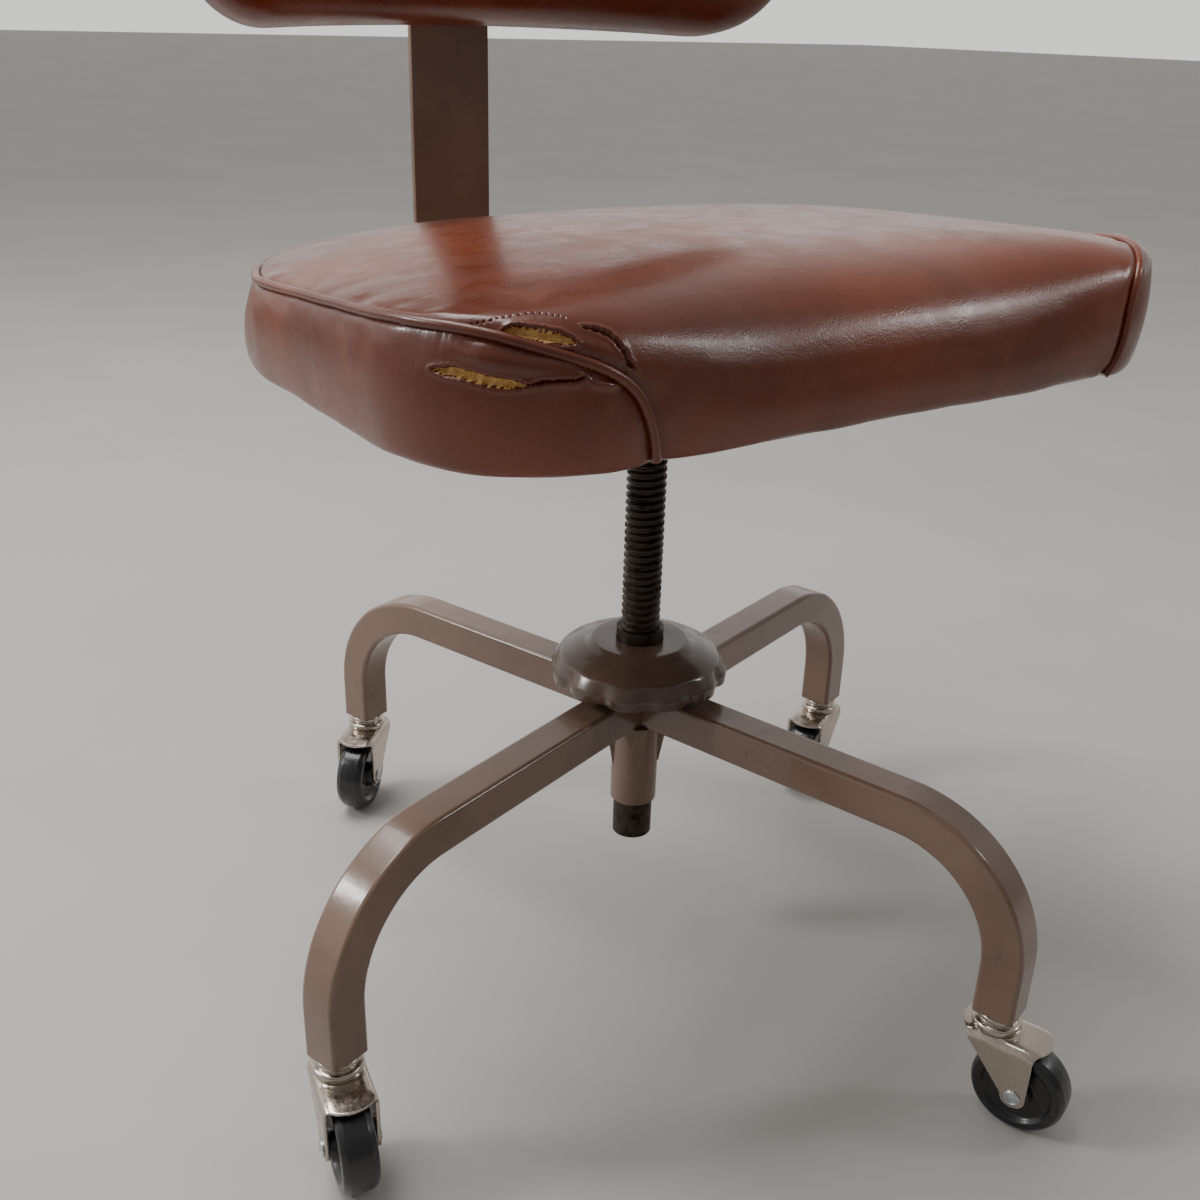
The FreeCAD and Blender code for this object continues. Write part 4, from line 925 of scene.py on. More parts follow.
@dataclass
class Outline:
    """A rectangle in plan with one corner radius at its low end and another at its high end."""

    half_wide: float
    low: float
    high: float
    low_corner: float
    high_corner: float

    @property
    def middle(self) -> float:
        """The outline's middle along its length."""
        return (self.low + self.high) / 2

    def inside(self, x: float, y: float) -> float:
        """Give how far a point is inside the outline; outside is negative."""
        radius = self.high_corner if y > self.middle else self.low_corner
        over_x = abs(x) - self.half_wide + radius
        over_y = abs(y - self.middle) - (self.high - self.low) / 2 + radius
        outer = math.hypot(max(over_x, 0), max(over_y, 0))
        return radius - outer - min(max(over_x, over_y), 0)

    def station(self, across: float, along: float) -> tuple[Vector, Vector]:
        """Give the outline's point and outward direction seen one way from its middle.

        Args:
            across: Sideways share of the way, from -1 to 1.
            along: Lengthways share of the way, from -1 to 1.

        Returns:
            The point on the outline and the unit normal there.
        """
        ray = Vector((across * self.half_wide, along * (self.high - self.low) / 2))
        near, far = 0.2, 1.2
        for _ in range(40):
            share = (near + far) / 2
            if self.inside(ray.x * share, ray.y * share + self.middle) > 0:
                near = share
            else:
                far = share
        spot = Vector((ray.x * near, ray.y * near + self.middle))
        gap = 0.05
        slope = Vector((self.inside(spot.x + gap, spot.y) - self.inside(spot.x - gap, spot.y),
                        self.inside(spot.x, spot.y + gap) - self.inside(spot.x, spot.y - gap)))
        return spot, -slope.normalized()


def pillow_mesh(outline: Outline, cells: tuple[int, int],
                section: Callable[[Vector, Vector], list[tuple[float, float]]],
                crown: Callable[[float, float], float]) -> bmesh.types.BMesh:
    """Make a cushion from a gridded face, with its sides extruded ring by ring and its rear open.

    Args:
        outline: The cushion's plan.
        cells: The face's cells across and along.
        section: For an edge point and its normal, the (inset, height) points from the face
            down the side to the underside.
        crown: The face's height at a place.

    Returns:
        The open mesh, whose height is along Z.
    """
    bm = bmesh.new()
    bmesh.ops.create_grid(bm, x_segments=cells[0], y_segments=cells[1], size=1.0)
    rim = {}
    for vert in bm.verts:
        across, along = vert.co.x, vert.co.y
        reach = max(abs(across), abs(along))
        if reach < 1e-6:
            vert.co = Vector((0, outline.middle, crown(0, outline.middle)))
            continue
        spot, away = outline.station(across / reach, along / reach)
        rings = section(spot, away)
        edge = spot - away * rings[0][0]
        x = edge.x * reach
        y = outline.middle + (edge.y - outline.middle) * reach
        vert.co = Vector((x, y, crown(x, y)))
        if reach > 1 - 1e-6:
            rim[vert] = (spot, away, rings)
    depth = len(next(iter(rim.values()))[2])
    edges = [edge for edge in bm.edges if edge.is_boundary]
    for level in range(1, depth):
        before = {tuple(vert.co): vert for edge in edges for vert in edge.verts}
        made = bmesh.ops.extrude_edge_only(bm, edges=edges)["geom"]
        fresh = [item for item in made if isinstance(item, bmesh.types.BMVert)]
        after = {vert: rim[before[tuple(vert.co)]] for vert in fresh}
        for vert, (spot, away, rings) in after.items():
            inset, height = rings[level]
            place = spot - away * inset
            vert.co = Vector((place.x, place.y, height))
        rim = after
        edges = [edge for edge in bm.edges if edge.is_boundary]
    bmesh.ops.recalc_face_normals(bm, faces=bm.faces)
    centre = Vector((0, outline.middle))
    if min(bm.faces, key=lambda face: (face.calc_center_median().xy - centre).length).normal.z < 0:
        bmesh.ops.reverse_faces(bm, faces=bm.faces)
    return bm


def puff(piece: bpy.types.Object, held: Iterable[int], pressure: float, cap: float,
         frames: int = 20, calming: int = 24) -> None:
    """Swell a cushion as cloth under pressure, with its seams held.

    Args:
        piece: The cushion.
        held: The vertices that don't move.
        pressure: The force on the cloth.
        cap: The furthest that a point may move, in millimetres.
        frames: How long the cloth moves.
        calming: How often the motion is evened out between neighbours, which takes out small wrinkles.
    """
    group = piece.vertex_groups.new(name="held")
    group.add(list(held), 1.0, "REPLACE")
    cloth = piece.modifiers.new("puff", "CLOTH")
    cloth.settings.quality = 6
    cloth.settings.use_pressure = True
    cloth.settings.uniform_pressure_force = pressure
    cloth.settings.vertex_group_mass = "held"
    cloth.settings.effector_weights.gravity = 0
    cloth.settings.shrink_min = -0.002
    cloth.settings.bending_stiffness = 12
    cloth.point_cache.frame_start = 1
    cloth.point_cache.frame_end = frames
    scene = bpy.context.scene
    for number in range(1, frames + 1):
        scene.frame_set(number)
    shaped = piece.evaluated_get(bpy.context.evaluated_depsgraph_get()).data
    moved = [vert.co.copy() for vert in shaped.vertices]
    piece.modifiers.remove(cloth)
    piece.vertex_groups.remove(group)
    scene.frame_set(1)
    shifts = []
    for vert, target in zip(piece.data.vertices, moved):
        shift = target - vert.co
        shifts.append(shift.normalized() * min(shift.length, cap * MM))
    neighbours = [[] for _ in shifts]
    for edge in piece.data.edges:
        first, second = edge.vertices
        neighbours[first].append(second)
        neighbours[second].append(first)
    fixed = set(held)
    for _ in range(calming):
        shifts = [shifts[index] if index in fixed
                  else sum((shifts[other] for other in near), Vector()) / len(near)
                  for index, near in enumerate(neighbours)]
    for vert, shift in zip(piece.data.vertices, shifts):
        vert.co += shift


def subdivided(piece: bpy.types.Object) -> bmesh.types.BMesh:
    """Give a cushion's mesh with one smooth subdivision and its rear closed, in millimetres."""
    finer = piece.modifiers.new("finer", "SUBSURF")
    finer.levels = finer.render_levels = 1
    shaped = piece.evaluated_get(bpy.context.evaluated_depsgraph_get()).to_mesh()
    bm = bmesh.new()
    bm.from_mesh(shaped)
    bmesh.ops.scale(bm, vec=(1 / MM,) * 3, verts=bm.verts)
    piece.modifiers.remove(finer)
    bpy.data.objects.remove(piece)
    bmesh.ops.contextual_create(bm, geom=[edge for edge in bm.edges if edge.is_boundary])
    return bm


def relax(bm: bmesh.types.BMesh, verts: list[bmesh.types.BMVert], times: int) -> None:
    """Even out some vertices with their neighbours, a number of times."""
    for _ in range(times):
        bmesh.ops.smooth_vert(bm, verts=verts, factor=0.5,
                              use_axis_x=True, use_axis_y=True, use_axis_z=True)


def nearest_gap(path: Sequence[Vector]) -> Callable[[Vector], float]:
    """Give a function that measures how far a point is from a path."""
    tree = KDTree(len(path))
    for index, spot in enumerate(path):
        tree.insert(spot, index)
    tree.balance()
    return lambda spot: tree.find(spot)[2]


def laid_on(path: Sequence[Vector], bm: bmesh.types.BMesh, proud: float) -> list[Vector]:
    """Move a path's points onto a surface, and a little proud of it.

    Args:
        path: Points near the surface.
        bm: The surface.
        proud: How far above the surface the path runs.

    Returns:
        The moved points, evened out.
    """
    bm.normal_update()
    tree = BVHTree.FromBMesh(bm)
    line = []
    for spot in path:
        place, away, _, _ = tree.find_nearest(spot)
        line.append(place + away * proud)
    for _ in range(3):
        line = [line[0]] + [(a + b * 2 + c) / 4 for a, b, c in zip(line, line[1:], line[2:])] + [line[-1]]
    return line


@dataclass(frozen=True)
class Mark:
    """Something that runs along the cover near a path: a tear, a fold or a row of holes."""

    path: tuple[Point3 | Vector, ...]
    half_width: float

    def gap(self, spot: Vector) -> tuple[float, float]:
        """Give how far a point is from the path, and the share of the path that it is nearest to."""
        best, share = math.inf, 0.0
        for index, (start, end) in enumerate(zip(self.path, self.path[1:])):
            line = end - start
            along = min(1.0, max(0.0, (spot - start).dot(line) / line.length_squared))
            away = (start + line * along - spot).length
            if away < best:
                best, share = away, (index + along) / (len(self.path) - 1)
        return best, share

    def shift(self, spot: Vector) -> float:
        """Give how far the cover stands out at a point; a negative number is inward."""
        raise NotImplementedError

    def shows_foam(self, spot: Vector) -> bool:
        """Say whether the foam shows at a point."""
        return False


@dataclass(frozen=True)
class Tear(Mark):
    """An opening with ragged, slightly curled edges."""

    depth: float
    ragged: float = 0.5
    curl: float = 0.5
    foam: bool = True

    def opening(self, spot: Vector) -> float:
        """Give how far a point is inside the opening; outside is negative."""
        away, share = self.gap(spot)
        width = self.half_width * min(1.0, 6 * share * (1 - share)) ** 0.7
        return width + self.ragged * noise.noise(spot * 0.55) - away

    def shift(self, spot: Vector) -> float:
        """Give how far the cover stands out at a point."""
        inside = self.opening(spot)
        crumbs = 0.5 * noise.noise(spot * 0.8) if self.foam else 0.0
        drop = (self.depth + crumbs) * smoothstep(-0.35, 0.55, inside)
        return self.curl * bell(inside + 1.1, 0.9) - drop

    def shows_foam(self, spot: Vector) -> bool:
        """Say whether the foam shows at a point."""
        return self.foam and self.opening(spot) > 0.15


@dataclass(frozen=True)
class Fold(Mark):
    """A soft ridge, or with a negative height a groove."""

    height: float

    def shift(self, spot: Vector) -> float:
        """Give how far the cover stands out at a point."""
        away, share = self.gap(spot)
        fade = min(1.0, 5 * share * (1 - share)) if len(self.path) > 2 else 1.0
        return self.height * fade * bell(away, self.half_width)


@dataclass(frozen=True)
class StitchHoles(Mark):
    """A row of small holes where a seam has pulled out."""

    pitch: float = 2.7
    depth: float = 1.1

    def shift(self, spot: Vector) -> float:
        """Give how far the cover stands out at a point."""
        away, share = self.gap(spot)
        length = sum((a - b).length for a, b in zip(self.path, self.path[1:]))
        along = (share * length / self.pitch + 0.5) % 1.0 - 0.5
        reach = math.hypot(away, along * self.pitch)
        return -self.depth * (1 - smoothstep(self.half_width * 0.5, self.half_width * 1.3, reach))


# The sitter's right front corner, where the cover has worn through.
DAMAGE: tuple[Mark, ...] = (
    Tear(((-209.0, -179.6, 491.4), (-204.6, -182.3, 491.6), (-199.4, -184.8, 490.9), (-193.8, -187.0, 489.6),
          (-187.8, -188.8, 487.9), (-181.6, -190.2, 485.9)), 2.6, depth=2.6),
    Tear(((-231.6, -160.3, 474.6), (-227.5, -167.0, 474.6), (-223.5, -172.2, 474.5), (-219.5, -177.0, 473.1),
          (-215.2, -181.2, 472.2), (-209.0, -186.0, 471.7), (-202.2, -190.0, 471.3)), 2.0, depth=2.4),
    Tear(((-203.5, -189.4, 471.3), (-196.7, -192.3, 472.8), (-191.0, -194.3, 473.0), (-184.9, -195.8, 472.5),
          (-180.4, -196.1, 473.7)), 0.55, depth=2.2, foam=False),
    Tear(((-178.1, -187.0, 489.1), (-172.9, -187.8, 487.5), (-168.6, -188.7, 485.7), (-165.3, -189.8, 483.1),
          (-162.7, -191.1, 480.2), (-159.8, -192.2, 477.3), (-156.3, -193.0, 474.1)), 1.0, depth=2.6,
         ragged=0.9, curl=0.35, foam=False),
    Fold(((-226.6, -162.0, 486.3), (-219.7, -173.6, 483.1), (-211.2, -182.2, 480.4), (-201.4, -188.5, 478.9),
          (-190.3, -193.1, 477.8), (-177.9, -195.9, 476.1)), 5.5, height=3.2),
    Fold(((-181.4, -196.1, 473.0), (-176.2, -197.1, 470.5), (-168.8, -197.0, 468.7), (-161.5, -195.1, 469.0)),
         1.8, height=1.3),
    StitchHoles(((-217.8, -170.4, 493.4), (-210.8, -173.9, 495.0), (-203.1, -176.1, 495.8),
                 (-194.0, -177.3, 495.0), (-187.5, -180.8, 494.0), (-182.3, -183.9, 492.5)), 0.6),
)


# The piping's ends, up the front and round the sitter's right corner, then the left corner and down.
RIGHT_HAND_SEAM: tuple[Point3, ...] = (
    (-142.5, -197.0, 431.0), (-144.6, -197.5, 440.8), (-148.6, -198.4, 450.5), (-152.1, -197.3, 459.4),
    (-157.2, -196.5, 466.8), (-164.7, -196.0, 472.9), (-175.3, -195.3, 478.0), (-185.7, -193.1, 481.6),
    (-197.2, -188.6, 485.4), (-207.4, -182.2, 488.9), (-216.4, -173.7, 491.2), (-225.6, -160.4, 492.2),
    (-231.5, -148.0, 492.0))
LEFT_HAND_SEAM: tuple[Point3, ...] = (
    (231.0, -122.0, 489.5), (226.9, -137.1, 490.0), (218.5, -150.5, 490.5), (208.3, -162.6, 490.5),
    (198.5, -173.0, 490.0), (188.2, -182.3, 489.0), (178.5, -190.5, 486.5), (172.5, -195.5, 481.0),
    (171.0, -197.5, 473.0), (170.5, -198.5, 462.3), (170.6, -199.2, 448.5), (168.6, -197.0, 437.7),
    (163.0, -197.0, 431.0))


@dataclass
class Seat:
    """The seat: a waterfall-fronted cushion with piped boxing, torn at its front corner."""

    front_corner: float = 78.0
    back_corner: float = 172.0
    cells: tuple[int, int] = (96, 76)
    welt_zero: float = 482.0
    welt_slope: float = -0.072
    welt_top: float = 492.0
    dome: float = 16.5
    dome_reach: float = 190.0
    fall_start: float = -20.0
    fall_blend: float = 70.0
    fall: float = 0.065
    front_flat: float = 60.0
    front_end: float = 236.0
    nose_depth: float = 62.0
    nose_drop: float = 44.0
    edge_round: float = 7.0
    bulge: float = 2.6
    back_draw: float = 36.0
    seam_turn: float = -130.0
    seam_reach: float = 40.0
    stitch_pull: Point = (1.7, 4.0)
    panel_pull: Point = (0.9, 14.0)
    pucker: Point = (0.9, 16.0)
    pucker_scale: float = 0.07
    hem: float = 26.0
    hem_inset: float = 6.0
    hem_sag: float = 1.6
    hem_scale: float = 0.028
    lip: float = 13.0
    board_gap: float = 6.6
    welt_radius: float = 2.3

    def __post_init__(self) -> None:
        """Read the seat's place from the frame."""
        low, high = corners_of("seat_pad")
        self.bottom = low.z
        self.board_top = corners_of("seat_board")[1].z
        self.board_bottom = corners_of("seat_board")[0].z
        self.plan = Outline(high.x, low.y, high.y, self.front_corner, self.back_corner)

    def welt_height(self, y: float) -> float:
        """Give the height of the piped edge at a place along the seat."""
        return min(self.welt_zero + self.welt_slope * y, self.welt_top + 2)

    def crown(self, x: float, y: float) -> float:
        """Give the face's height before it swells."""
        share = min(1.0, max(0.0, self.plan.inside(x, max(y, self.plan.middle)) / self.dome_reach))
        behind = y - self.fall_start
        ahead = (math.hypot(behind, self.fall_blend) - behind) / 2
        dome = self.dome - self.fall * ahead
        return self.welt_height(y) + 1.0 + dome * (1 - (1 - share) ** 2) ** 0.95

    def is_front(self, x: float, y: float) -> float:
        """Give 1 on the waterfall front, falling to 0 at its two seams."""
        if y > self.plan.low + self.front_corner:
            return 0.0
        return 1 - smoothstep(self.front_flat, self.front_end, abs(x))

    def section(self, spot: Vector, away: Vector) -> list[tuple[float, float]]:
        """Give the side's (inset, height) points from the face to the board."""
        front = self.is_front(spot.x, spot.y)
        drawn = self.tuck(spot, away)
        depth = self.edge_round + (self.nose_depth - self.edge_round) * front
        drop = self.edge_round + (self.nose_drop - self.edge_round) * front
        points = []
        for inward, downward in quarter_round():
            inset = drawn + depth * inward ** (1 + 0.25 * front)
            place = spot - away * inset
            points.append((inset, self.crown(place.x, place.y) - drop * downward))
        shoulder = points[-1][1]
        belly = self.bulge * (1 - 0.75 * front)
        foot = self.bottom + 4.5
        for step in range(1, 11):
            share = step / 10
            points.append((drawn * (1 - 0.8 * share) + 1.2 * share - belly * math.sin(math.pi * share) ** 0.8,
                           shoulder + (foot - shoulder) * share))
        points += [(2.4 + drawn * 0.2, self.bottom + 1.6),
                   (4.6 + drawn * 0.15, self.bottom + 0.2), (8.5, self.bottom),
                   (self.lip, self.bottom + 0.5), (self.lip + 0.5, self.board_bottom - 0.1),
                   (self.board_gap, self.board_bottom - 0.1), (self.board_gap, self.board_top + 0.1)]
        return points

    def tuck(self, spot: Vector, away: Vector) -> float:
        """Give how far the piping is drawn in from the foot round the back corners."""
        if spot.y < self.plan.middle:
            return 0.0
        return self.back_draw * max(0.0, abs(away.x) + abs(away.y) - 1)

    def seam(self) -> list[Vector]:
        """Give the piped seam: up the front, round both sides and the back, and down the front."""
        steps = 60
        around = []
        for number in range(steps + 1):
            angle = math.radians(-113 - 314 * number / steps)
            spot, away = self.plan.station(math.cos(angle), math.sin(angle))
            if spot.y > self.seam_turn:
                place = spot - away * (2.0 + self.tuck(spot, away))
                around.append(Vector((place.x, place.y, min(self.welt_height(place.y), self.welt_top))))
        start = [Vector(spot) for spot in RIGHT_HAND_SEAM]
        end = [Vector(spot) for spot in LEFT_HAND_SEAM]
        return smooth_path(start + around + end, step=4.0)

    def build(self) -> None:
        """Make the cushion, swell it, crease its seams and lay the piping."""
        bm = pillow_mesh(self.plan, self.cells, self.section, self.crown)
        seam = self.seam()
        gap = nearest_gap(seam)
        held = [vert.index for vert in bm.verts if vert.co.z < self.bottom + 5 or gap(vert.co) < 4.5]
        hidden = [vert.index for vert in bm.verts if vert.co.z < self.board_top + 0.5
                  and self.plan.inside(vert.co.x, vert.co.y) > self.board_gap - 0.5]
        bm.verts.index_update()
        piece = finish_mesh(bm, "seat_blank")
        puff(piece, set(held) | set(hidden), pressure=4.0, cap=4.5)
        bm = subdivided(piece)
        bm.normal_update()
        taut = [vert for vert in bm.verts if vert.normal.z > 0.2 and gap(vert.co) > 8]
        relax(bm, taut, times=24)
        seam = laid_on(seam, bm, 0.0)
        self.crease(bm, seam)
        seam = laid_on(seam, bm, self.welt_radius * 0.75)
        self.tear(bm)
        torn = [face.index for face in bm.faces if face.material_index == 1]
        cushion = finish_mesh(bm, "seat_cushion", crease=80)
        stand_for(cushion, "seat_pad")
        welt = finish_mesh(sweep(seam, self.welt_radius, sides=14), "seat_piping", crease=60)
        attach(welt, "seat")
        SEAT_VINYL.coat(cushion, welt)
        cushion.data.materials.append(FOAM.material())
        for index in torn:
            cushion.data.polygons[index].material_index = 1
        nodes = frame["nodes"]
        PLY.coat(nodes["seat_board"])
        CLOTH.coat(nodes["seat_dust_cover"])
        TAUPE.coat(nodes["seat_plate"], nodes["spindle_socket"], nodes["back_bar_guide"])
        ZINC.coat(nodes["seat_bolts"], nodes["seat_washers"], nodes["seat_tnuts"], nodes["socket_cross_pin"])
        LOG.info("seat built")

    def tear(self, bm: bmesh.types.BMesh) -> None:
        """Open the worn corner: refine the cover there, then press the marks into it."""
        bm.normal_update()
        cover = BVHTree.FromBMesh(bm)
        marks = [replace(mark, path=tuple(cover.find_nearest(Vector(spot))[0] for spot in mark.path))
                 for mark in DAMAGE]
        gap = nearest_gap([spot for mark in marks for spot in mark.path])
        for _ in range(2):
            near = [edge for edge in bm.edges if gap((edge.verts[0].co + edge.verts[1].co) / 2) < 8.5
                    and edge.calc_length() > 0.7]
            bmesh.ops.subdivide_edges(bm, edges=near, cuts=1, use_grid_fill=True)
        near = [vert for vert in bm.verts if gap(vert.co) < 9]
        relax(bm, near, times=3)
        bm.normal_update()
        plans = [(vert, vert.co.copy(), sum(mark.shift(vert.co) for mark in marks)) for vert in near]
        spots = {vert: spot for vert, spot, _ in plans}
        for face in {face for vert in near for face in vert.link_faces}:
            centre = sum((spots.get(vert, vert.co) for vert in face.verts), Vector()) / len(face.verts)
            if any(mark.shows_foam(centre) for mark in marks):
                face.material_index = 1
        for vert, spot, out in plans:
            vert.co = spot + vert.normal * out

    def crease(self, bm: bmesh.types.BMesh, seam: Sequence[Vector]) -> None:
        """Pull the cover in along the seam and add its small puckers."""
        bm.normal_update()
        gap = nearest_gap(seam)
        hem_top = self.bottom + self.hem
        for vert in bm.verts:
            away = gap(vert.co)
            if away < self.seam_reach:
                pull = sum(depth * bell(away, width) for depth, width in (self.stitch_pull, self.panel_pull))
                depth, width = self.pucker
                pucker = depth * noise.noise(vert.co * self.pucker_scale) * bell(away, width)
                vert.co -= vert.normal * (pull + pucker)
            if hem_top > vert.co.z and self.plan.inside(vert.co.x, vert.co.y) < self.hem_inset:
                sag = noise.noise(Vector((vert.co.x, vert.co.y, 0)) * self.hem_scale) * self.hem_sag
                vert.co -= Vector((0, 0, sag * (1 - smoothstep(self.bottom, hem_top, vert.co.z))))


@dataclass
class Backrest:
    """The curved, padded backrest on its bar."""

    corner: float = 60.0
    upper_corner: float = 74.0
    cells: tuple[int, int] = (88, 44)
    curve_centre: float = -259.0
    rear_radius: float = 483.0
    thickness: float = 44.0
    edge_round: float = 22.0
    crowned: float = 7.0
    arch: float = 5.0
    board_gap: float = 8.6
    board_depth: float = 11.2

    def __post_init__(self) -> None:
        """Read the backrest's place from the frame."""
        low, high = corners_of("backrest_pad")
        self.plan = Outline(high.x, low.z, high.z, self.corner, self.upper_corner)

    def crown(self, x: float, z: float) -> float:
        """Give how far the face stands in front of the rear, before it swells."""
        share = min(1.0, max(0.0, self.plan.inside(x, z) / 90))
        return self.thickness - self.crowned + self.crowned * (1 - (1 - share) ** 2)

    def section(self, spot: Vector, away: Vector) -> list[tuple[float, float]]:
        """Give the side's (inset, depth) points from the face to the board."""
        inner = spot - away * self.edge_round
        top = self.crown(inner.x, inner.y)
        points = [(self.edge_round * inward, top - self.edge_round * downward)
                  for inward, downward in quarter_round()]
        shoulder = top - self.edge_round
        for step in range(1, 5):
            share = step / 4
            points.append((1.5 * share - 1.5 * math.sin(math.pi * share),
                           shoulder + (4.0 - shoulder) * share))
        points += [(3.0, 1.2), (6.0, 0.1), (self.board_gap, 0.2), (self.board_gap, self.board_depth)]
        return points

    def bent(self, spot: Vector) -> Vector:
        """Carry a flat cushion's point to its curved place."""
        radius = self.rear_radius - spot.z
        height = spot.y
        low = 1 - smoothstep(self.plan.low, self.plan.middle, height)
        height += self.arch * low * (1 - (spot.x / self.plan.half_wide) ** 2)
        return Vector((spot.x, self.curve_centre + math.sqrt(radius ** 2 - spot.x ** 2), height))

    def build(self) -> None:
        """Make the cushion, bend it round the sitter and swell it."""
        bm = pillow_mesh(self.plan, self.cells, self.section, self.crown)
        plan_depth = [vert.co.z for vert in bm.verts]
        move(bm, self.bent)
        held = [index for index, depth in enumerate(plan_depth) if depth < 5.5 or depth == self.board_depth]
        piece = finish_mesh(bm, "back_blank")
        puff(piece, held, pressure=3.0, cap=5.0)
        bm = subdivided(piece)
        cushion = finish_mesh(bm, "backrest_cushion", crease=80)
        stand_for(cushion, "backrest_pad")
        SEAT_VINYL.coat(cushion)
        nodes = frame["nodes"]
        PLY.coat(nodes["backrest_board"])
        SEAT_VINYL.coat(nodes["backrest_rear_cover"])
        TAUPE.coat(nodes["backrest_bracket"], nodes["back_bar"], nodes["back_saddle"],
                   nodes["back_clamp_plate"])
        ZINC.coat(nodes["backrest_screws"], nodes["back_pivot_pin"], nodes["height_knob_stud"],
                  nodes["depth_knob_stud"])
        LOG.info("backrest built")


@dataclass
class Knob:
    """A moulded grip knob with finger flutes."""

    node: str
    place: Matrix
    radius: float = 22.0
    height: float = 20.0
    flutes: int = 8
    flute_depth: float = 2.4

    def build(self) -> None:
        """Turn the knob below its face, then press in the flutes."""
        r, h = self.radius, self.height
        outline = rounded([(0, -h), (r * 0.3, -h, 1.0), (r * 0.36, -h + 0.7, 1.0), (r * 0.72, -h + 0.4, 3.0),
                           (r * 0.96, -h * 0.86, 3.0), (r, -h * 0.36, 2.4), (r * 0.58, -h * 0.24, 2.0),
                           (r * 0.46, 0, 0.5), (0, 0)], 5)
        bm = spin_outline(outline, closed=False, steps=self.flutes * 14)

        def fluted(spot: Vector) -> Vector:
            radius = math.hypot(spot.x, spot.y)
            if radius < r * 0.55:
                return spot
            valley = (0.5 + 0.5 * math.cos(self.flutes * math.atan2(spot.y, spot.x))) ** 1.6
            share = 1 - self.flute_depth * valley * smoothstep(r * 0.6, r, radius) / radius
            return Vector((spot.x * share, spot.y * share, spot.z))

        move(bm, fluted)
        piece = finish_mesh(bm, self.node + "_grip", crease=40, place=self.place)
        stand_for(piece, self.node)
        BAKELITE.coat(piece)
        LOG.info("%s built", self.node)


def knobs() -> list[Knob]:
    """Give the two clamp knobs in their places."""
    low, high = corners_of("depth_knob")
    under = Matrix.Translation(((low.x + high.x) / 2, (low.y + high.y) / 2, high.z))
    near, far = corners_of("height_knob")
    behind = (Matrix.Translation(((near.x + far.x) / 2, near.y, (near.z + far.z) / 2))
              @ Matrix.Rotation(math.pi / 2, 4, "X"))
    return [Knob("depth_knob", under), Knob("height_knob", behind)]


# ------------------------------------------------------------------ studio

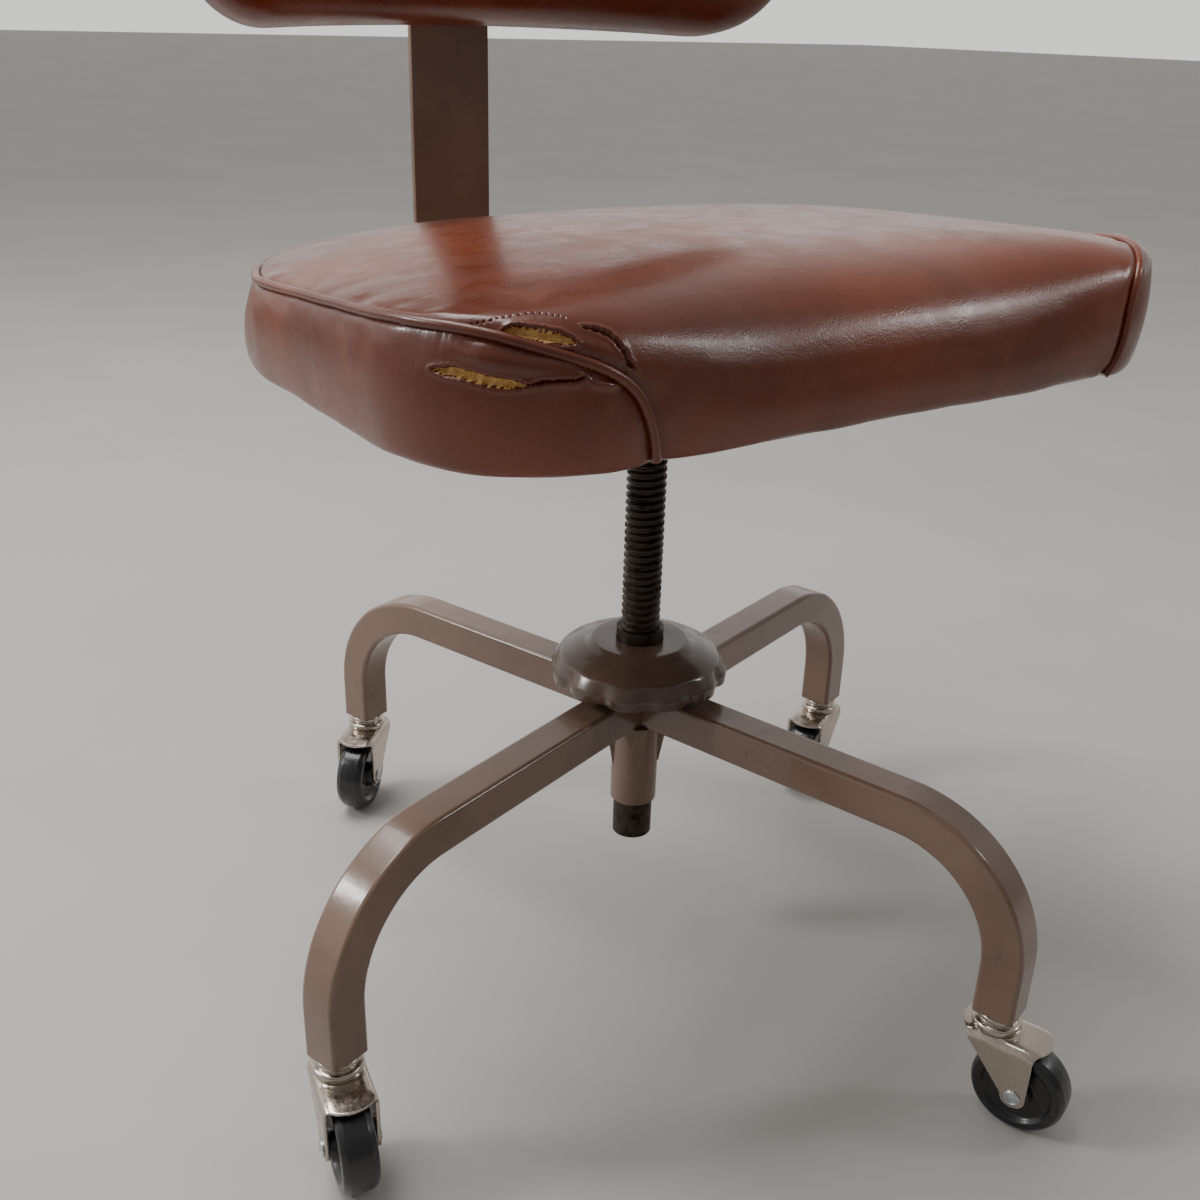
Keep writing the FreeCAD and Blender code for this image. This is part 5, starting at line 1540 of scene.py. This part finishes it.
@dataclass
class Studio:
    """A pale floor, soft lights and the camera."""

    floor_half: float = 30000.0
    eye: Point3 = (-461.9, -614.1, 604.7)
    bearing: float = 55.06
    pitch: float = -24.34
    roll: float = 1.71
    lens: float = 38.78

    def floor(self) -> None:
        """Lay the floor."""
        bm = bmesh.new()
        bmesh.ops.create_grid(bm, x_segments=1, y_segments=1, size=self.floor_half)
        floor = finish_mesh(bm, "studio_floor")
        tree = Tree("pale_floor")
        cloud = tree.spread(tree.noise(1.6, 5, 0.6), 0.35, 0.65)
        base = tree.between(cloud, tint(178, 175, 171), tint(184, 181, 177))
        tree.surface(Base_Color=base, Roughness=0.6, Specular_IOR_Level=0.3)
        floor.data.materials.append(tree.material)

    def light(self, name: str, spot: Point3, size: float, power: float, aim: Point3 = (0, 0, 350)) -> None:
        """Hang one soft square light."""
        lamp = bpy.data.lights.new(name, "AREA")
        lamp.size = size * MM
        lamp.energy = power
        holder = bpy.data.objects.new(name, lamp)
        bpy.context.scene.collection.objects.link(holder)
        holder.location = Vector(spot) * MM
        holder.rotation_euler = (Vector(aim) - Vector(spot)).to_track_quat("-Z", "Y").to_euler()

    def sky(self) -> None:
        """Set a pale surround, brighter behind the chair and dimmer overhead."""
        world = bpy.data.worlds.new("surround")
        bpy.context.scene.world = world
        world.use_nodes = True
        nodes, links = world.node_tree.nodes, world.node_tree.links
        coords = nodes.new("ShaderNodeTexCoord")
        split = nodes.new("ShaderNodeSeparateXYZ")
        sides = nodes.new("ShaderNodeMapRange")
        height = nodes.new("ShaderNodeMapRange")
        blend = nodes.new("ShaderNodeMix")
        links.new(coords.outputs["Generated"], split.inputs["Vector"])
        links.new(split.outputs["Y"], sides.inputs["Value"])
        links.new(split.outputs["Z"], height.inputs["Value"])
        for node, limits in ((sides, (-0.5, 0.5, 0.22, 1.05)), (height, (0.3, 0.85, 0.0, 1.0))):
            for socket, limit in zip(("From Min", "From Max", "To Min", "To Max"), limits):
                node.inputs[socket].default_value = limit
        links.new(height.outputs["Result"], blend.inputs["Factor"])
        links.new(sides.outputs["Result"], blend.inputs["A"])
        blend.inputs["B"].default_value = 0.36
        nodes["Background"].inputs["Color"].default_value = (1.0, 0.99, 0.97, 1)
        links.new(blend.outputs["Result"], nodes["Background"].inputs["Strength"])

    def camera(self) -> None:
        """Set the camera from its bearing, pitch and roll."""
        data = bpy.data.cameras.new("camera")
        data.lens = self.lens
        data.sensor_width = 36.0
        holder = bpy.data.objects.new("camera", data)
        bpy.context.scene.collection.objects.link(holder)
        turn = (Matrix.Rotation(math.radians(self.bearing - 90), 4, "Z")
                @ Matrix.Rotation(math.radians(90 + self.pitch), 4, "X")
                @ Matrix.Rotation(math.radians(self.roll), 4, "Z"))
        holder.matrix_world = Matrix.Translation(Vector(self.eye) * MM) @ turn
        bpy.context.scene.camera = holder

    def build(self) -> None:
        """Set the whole studio."""
        self.floor()
        self.sky()
        self.light("overhead", (-500, 800, 2600), 1500, 60)
        self.light("window", (-2000, 1150, 1600), 430, 24)
        self.light("strip", (2000, -1250, 1680), 330, 8, (0, -190, 470))
        self.camera()


def main() -> None:
    """Build the chair and its studio, and report each piece."""
    logging.basicConfig(level=logging.INFO, format="%(name)s: %(message)s")
    Base().dress()
    for corner in Corner:
        Caster(corner).build()
    StemCaps().build()
    LiftScrew().build()
    Handwheel().build()
    Seat().build()
    Backrest().build()
    for knob in knobs():
        knob.build()
    Studio().build()


if __name__ == "__main__":
    main()
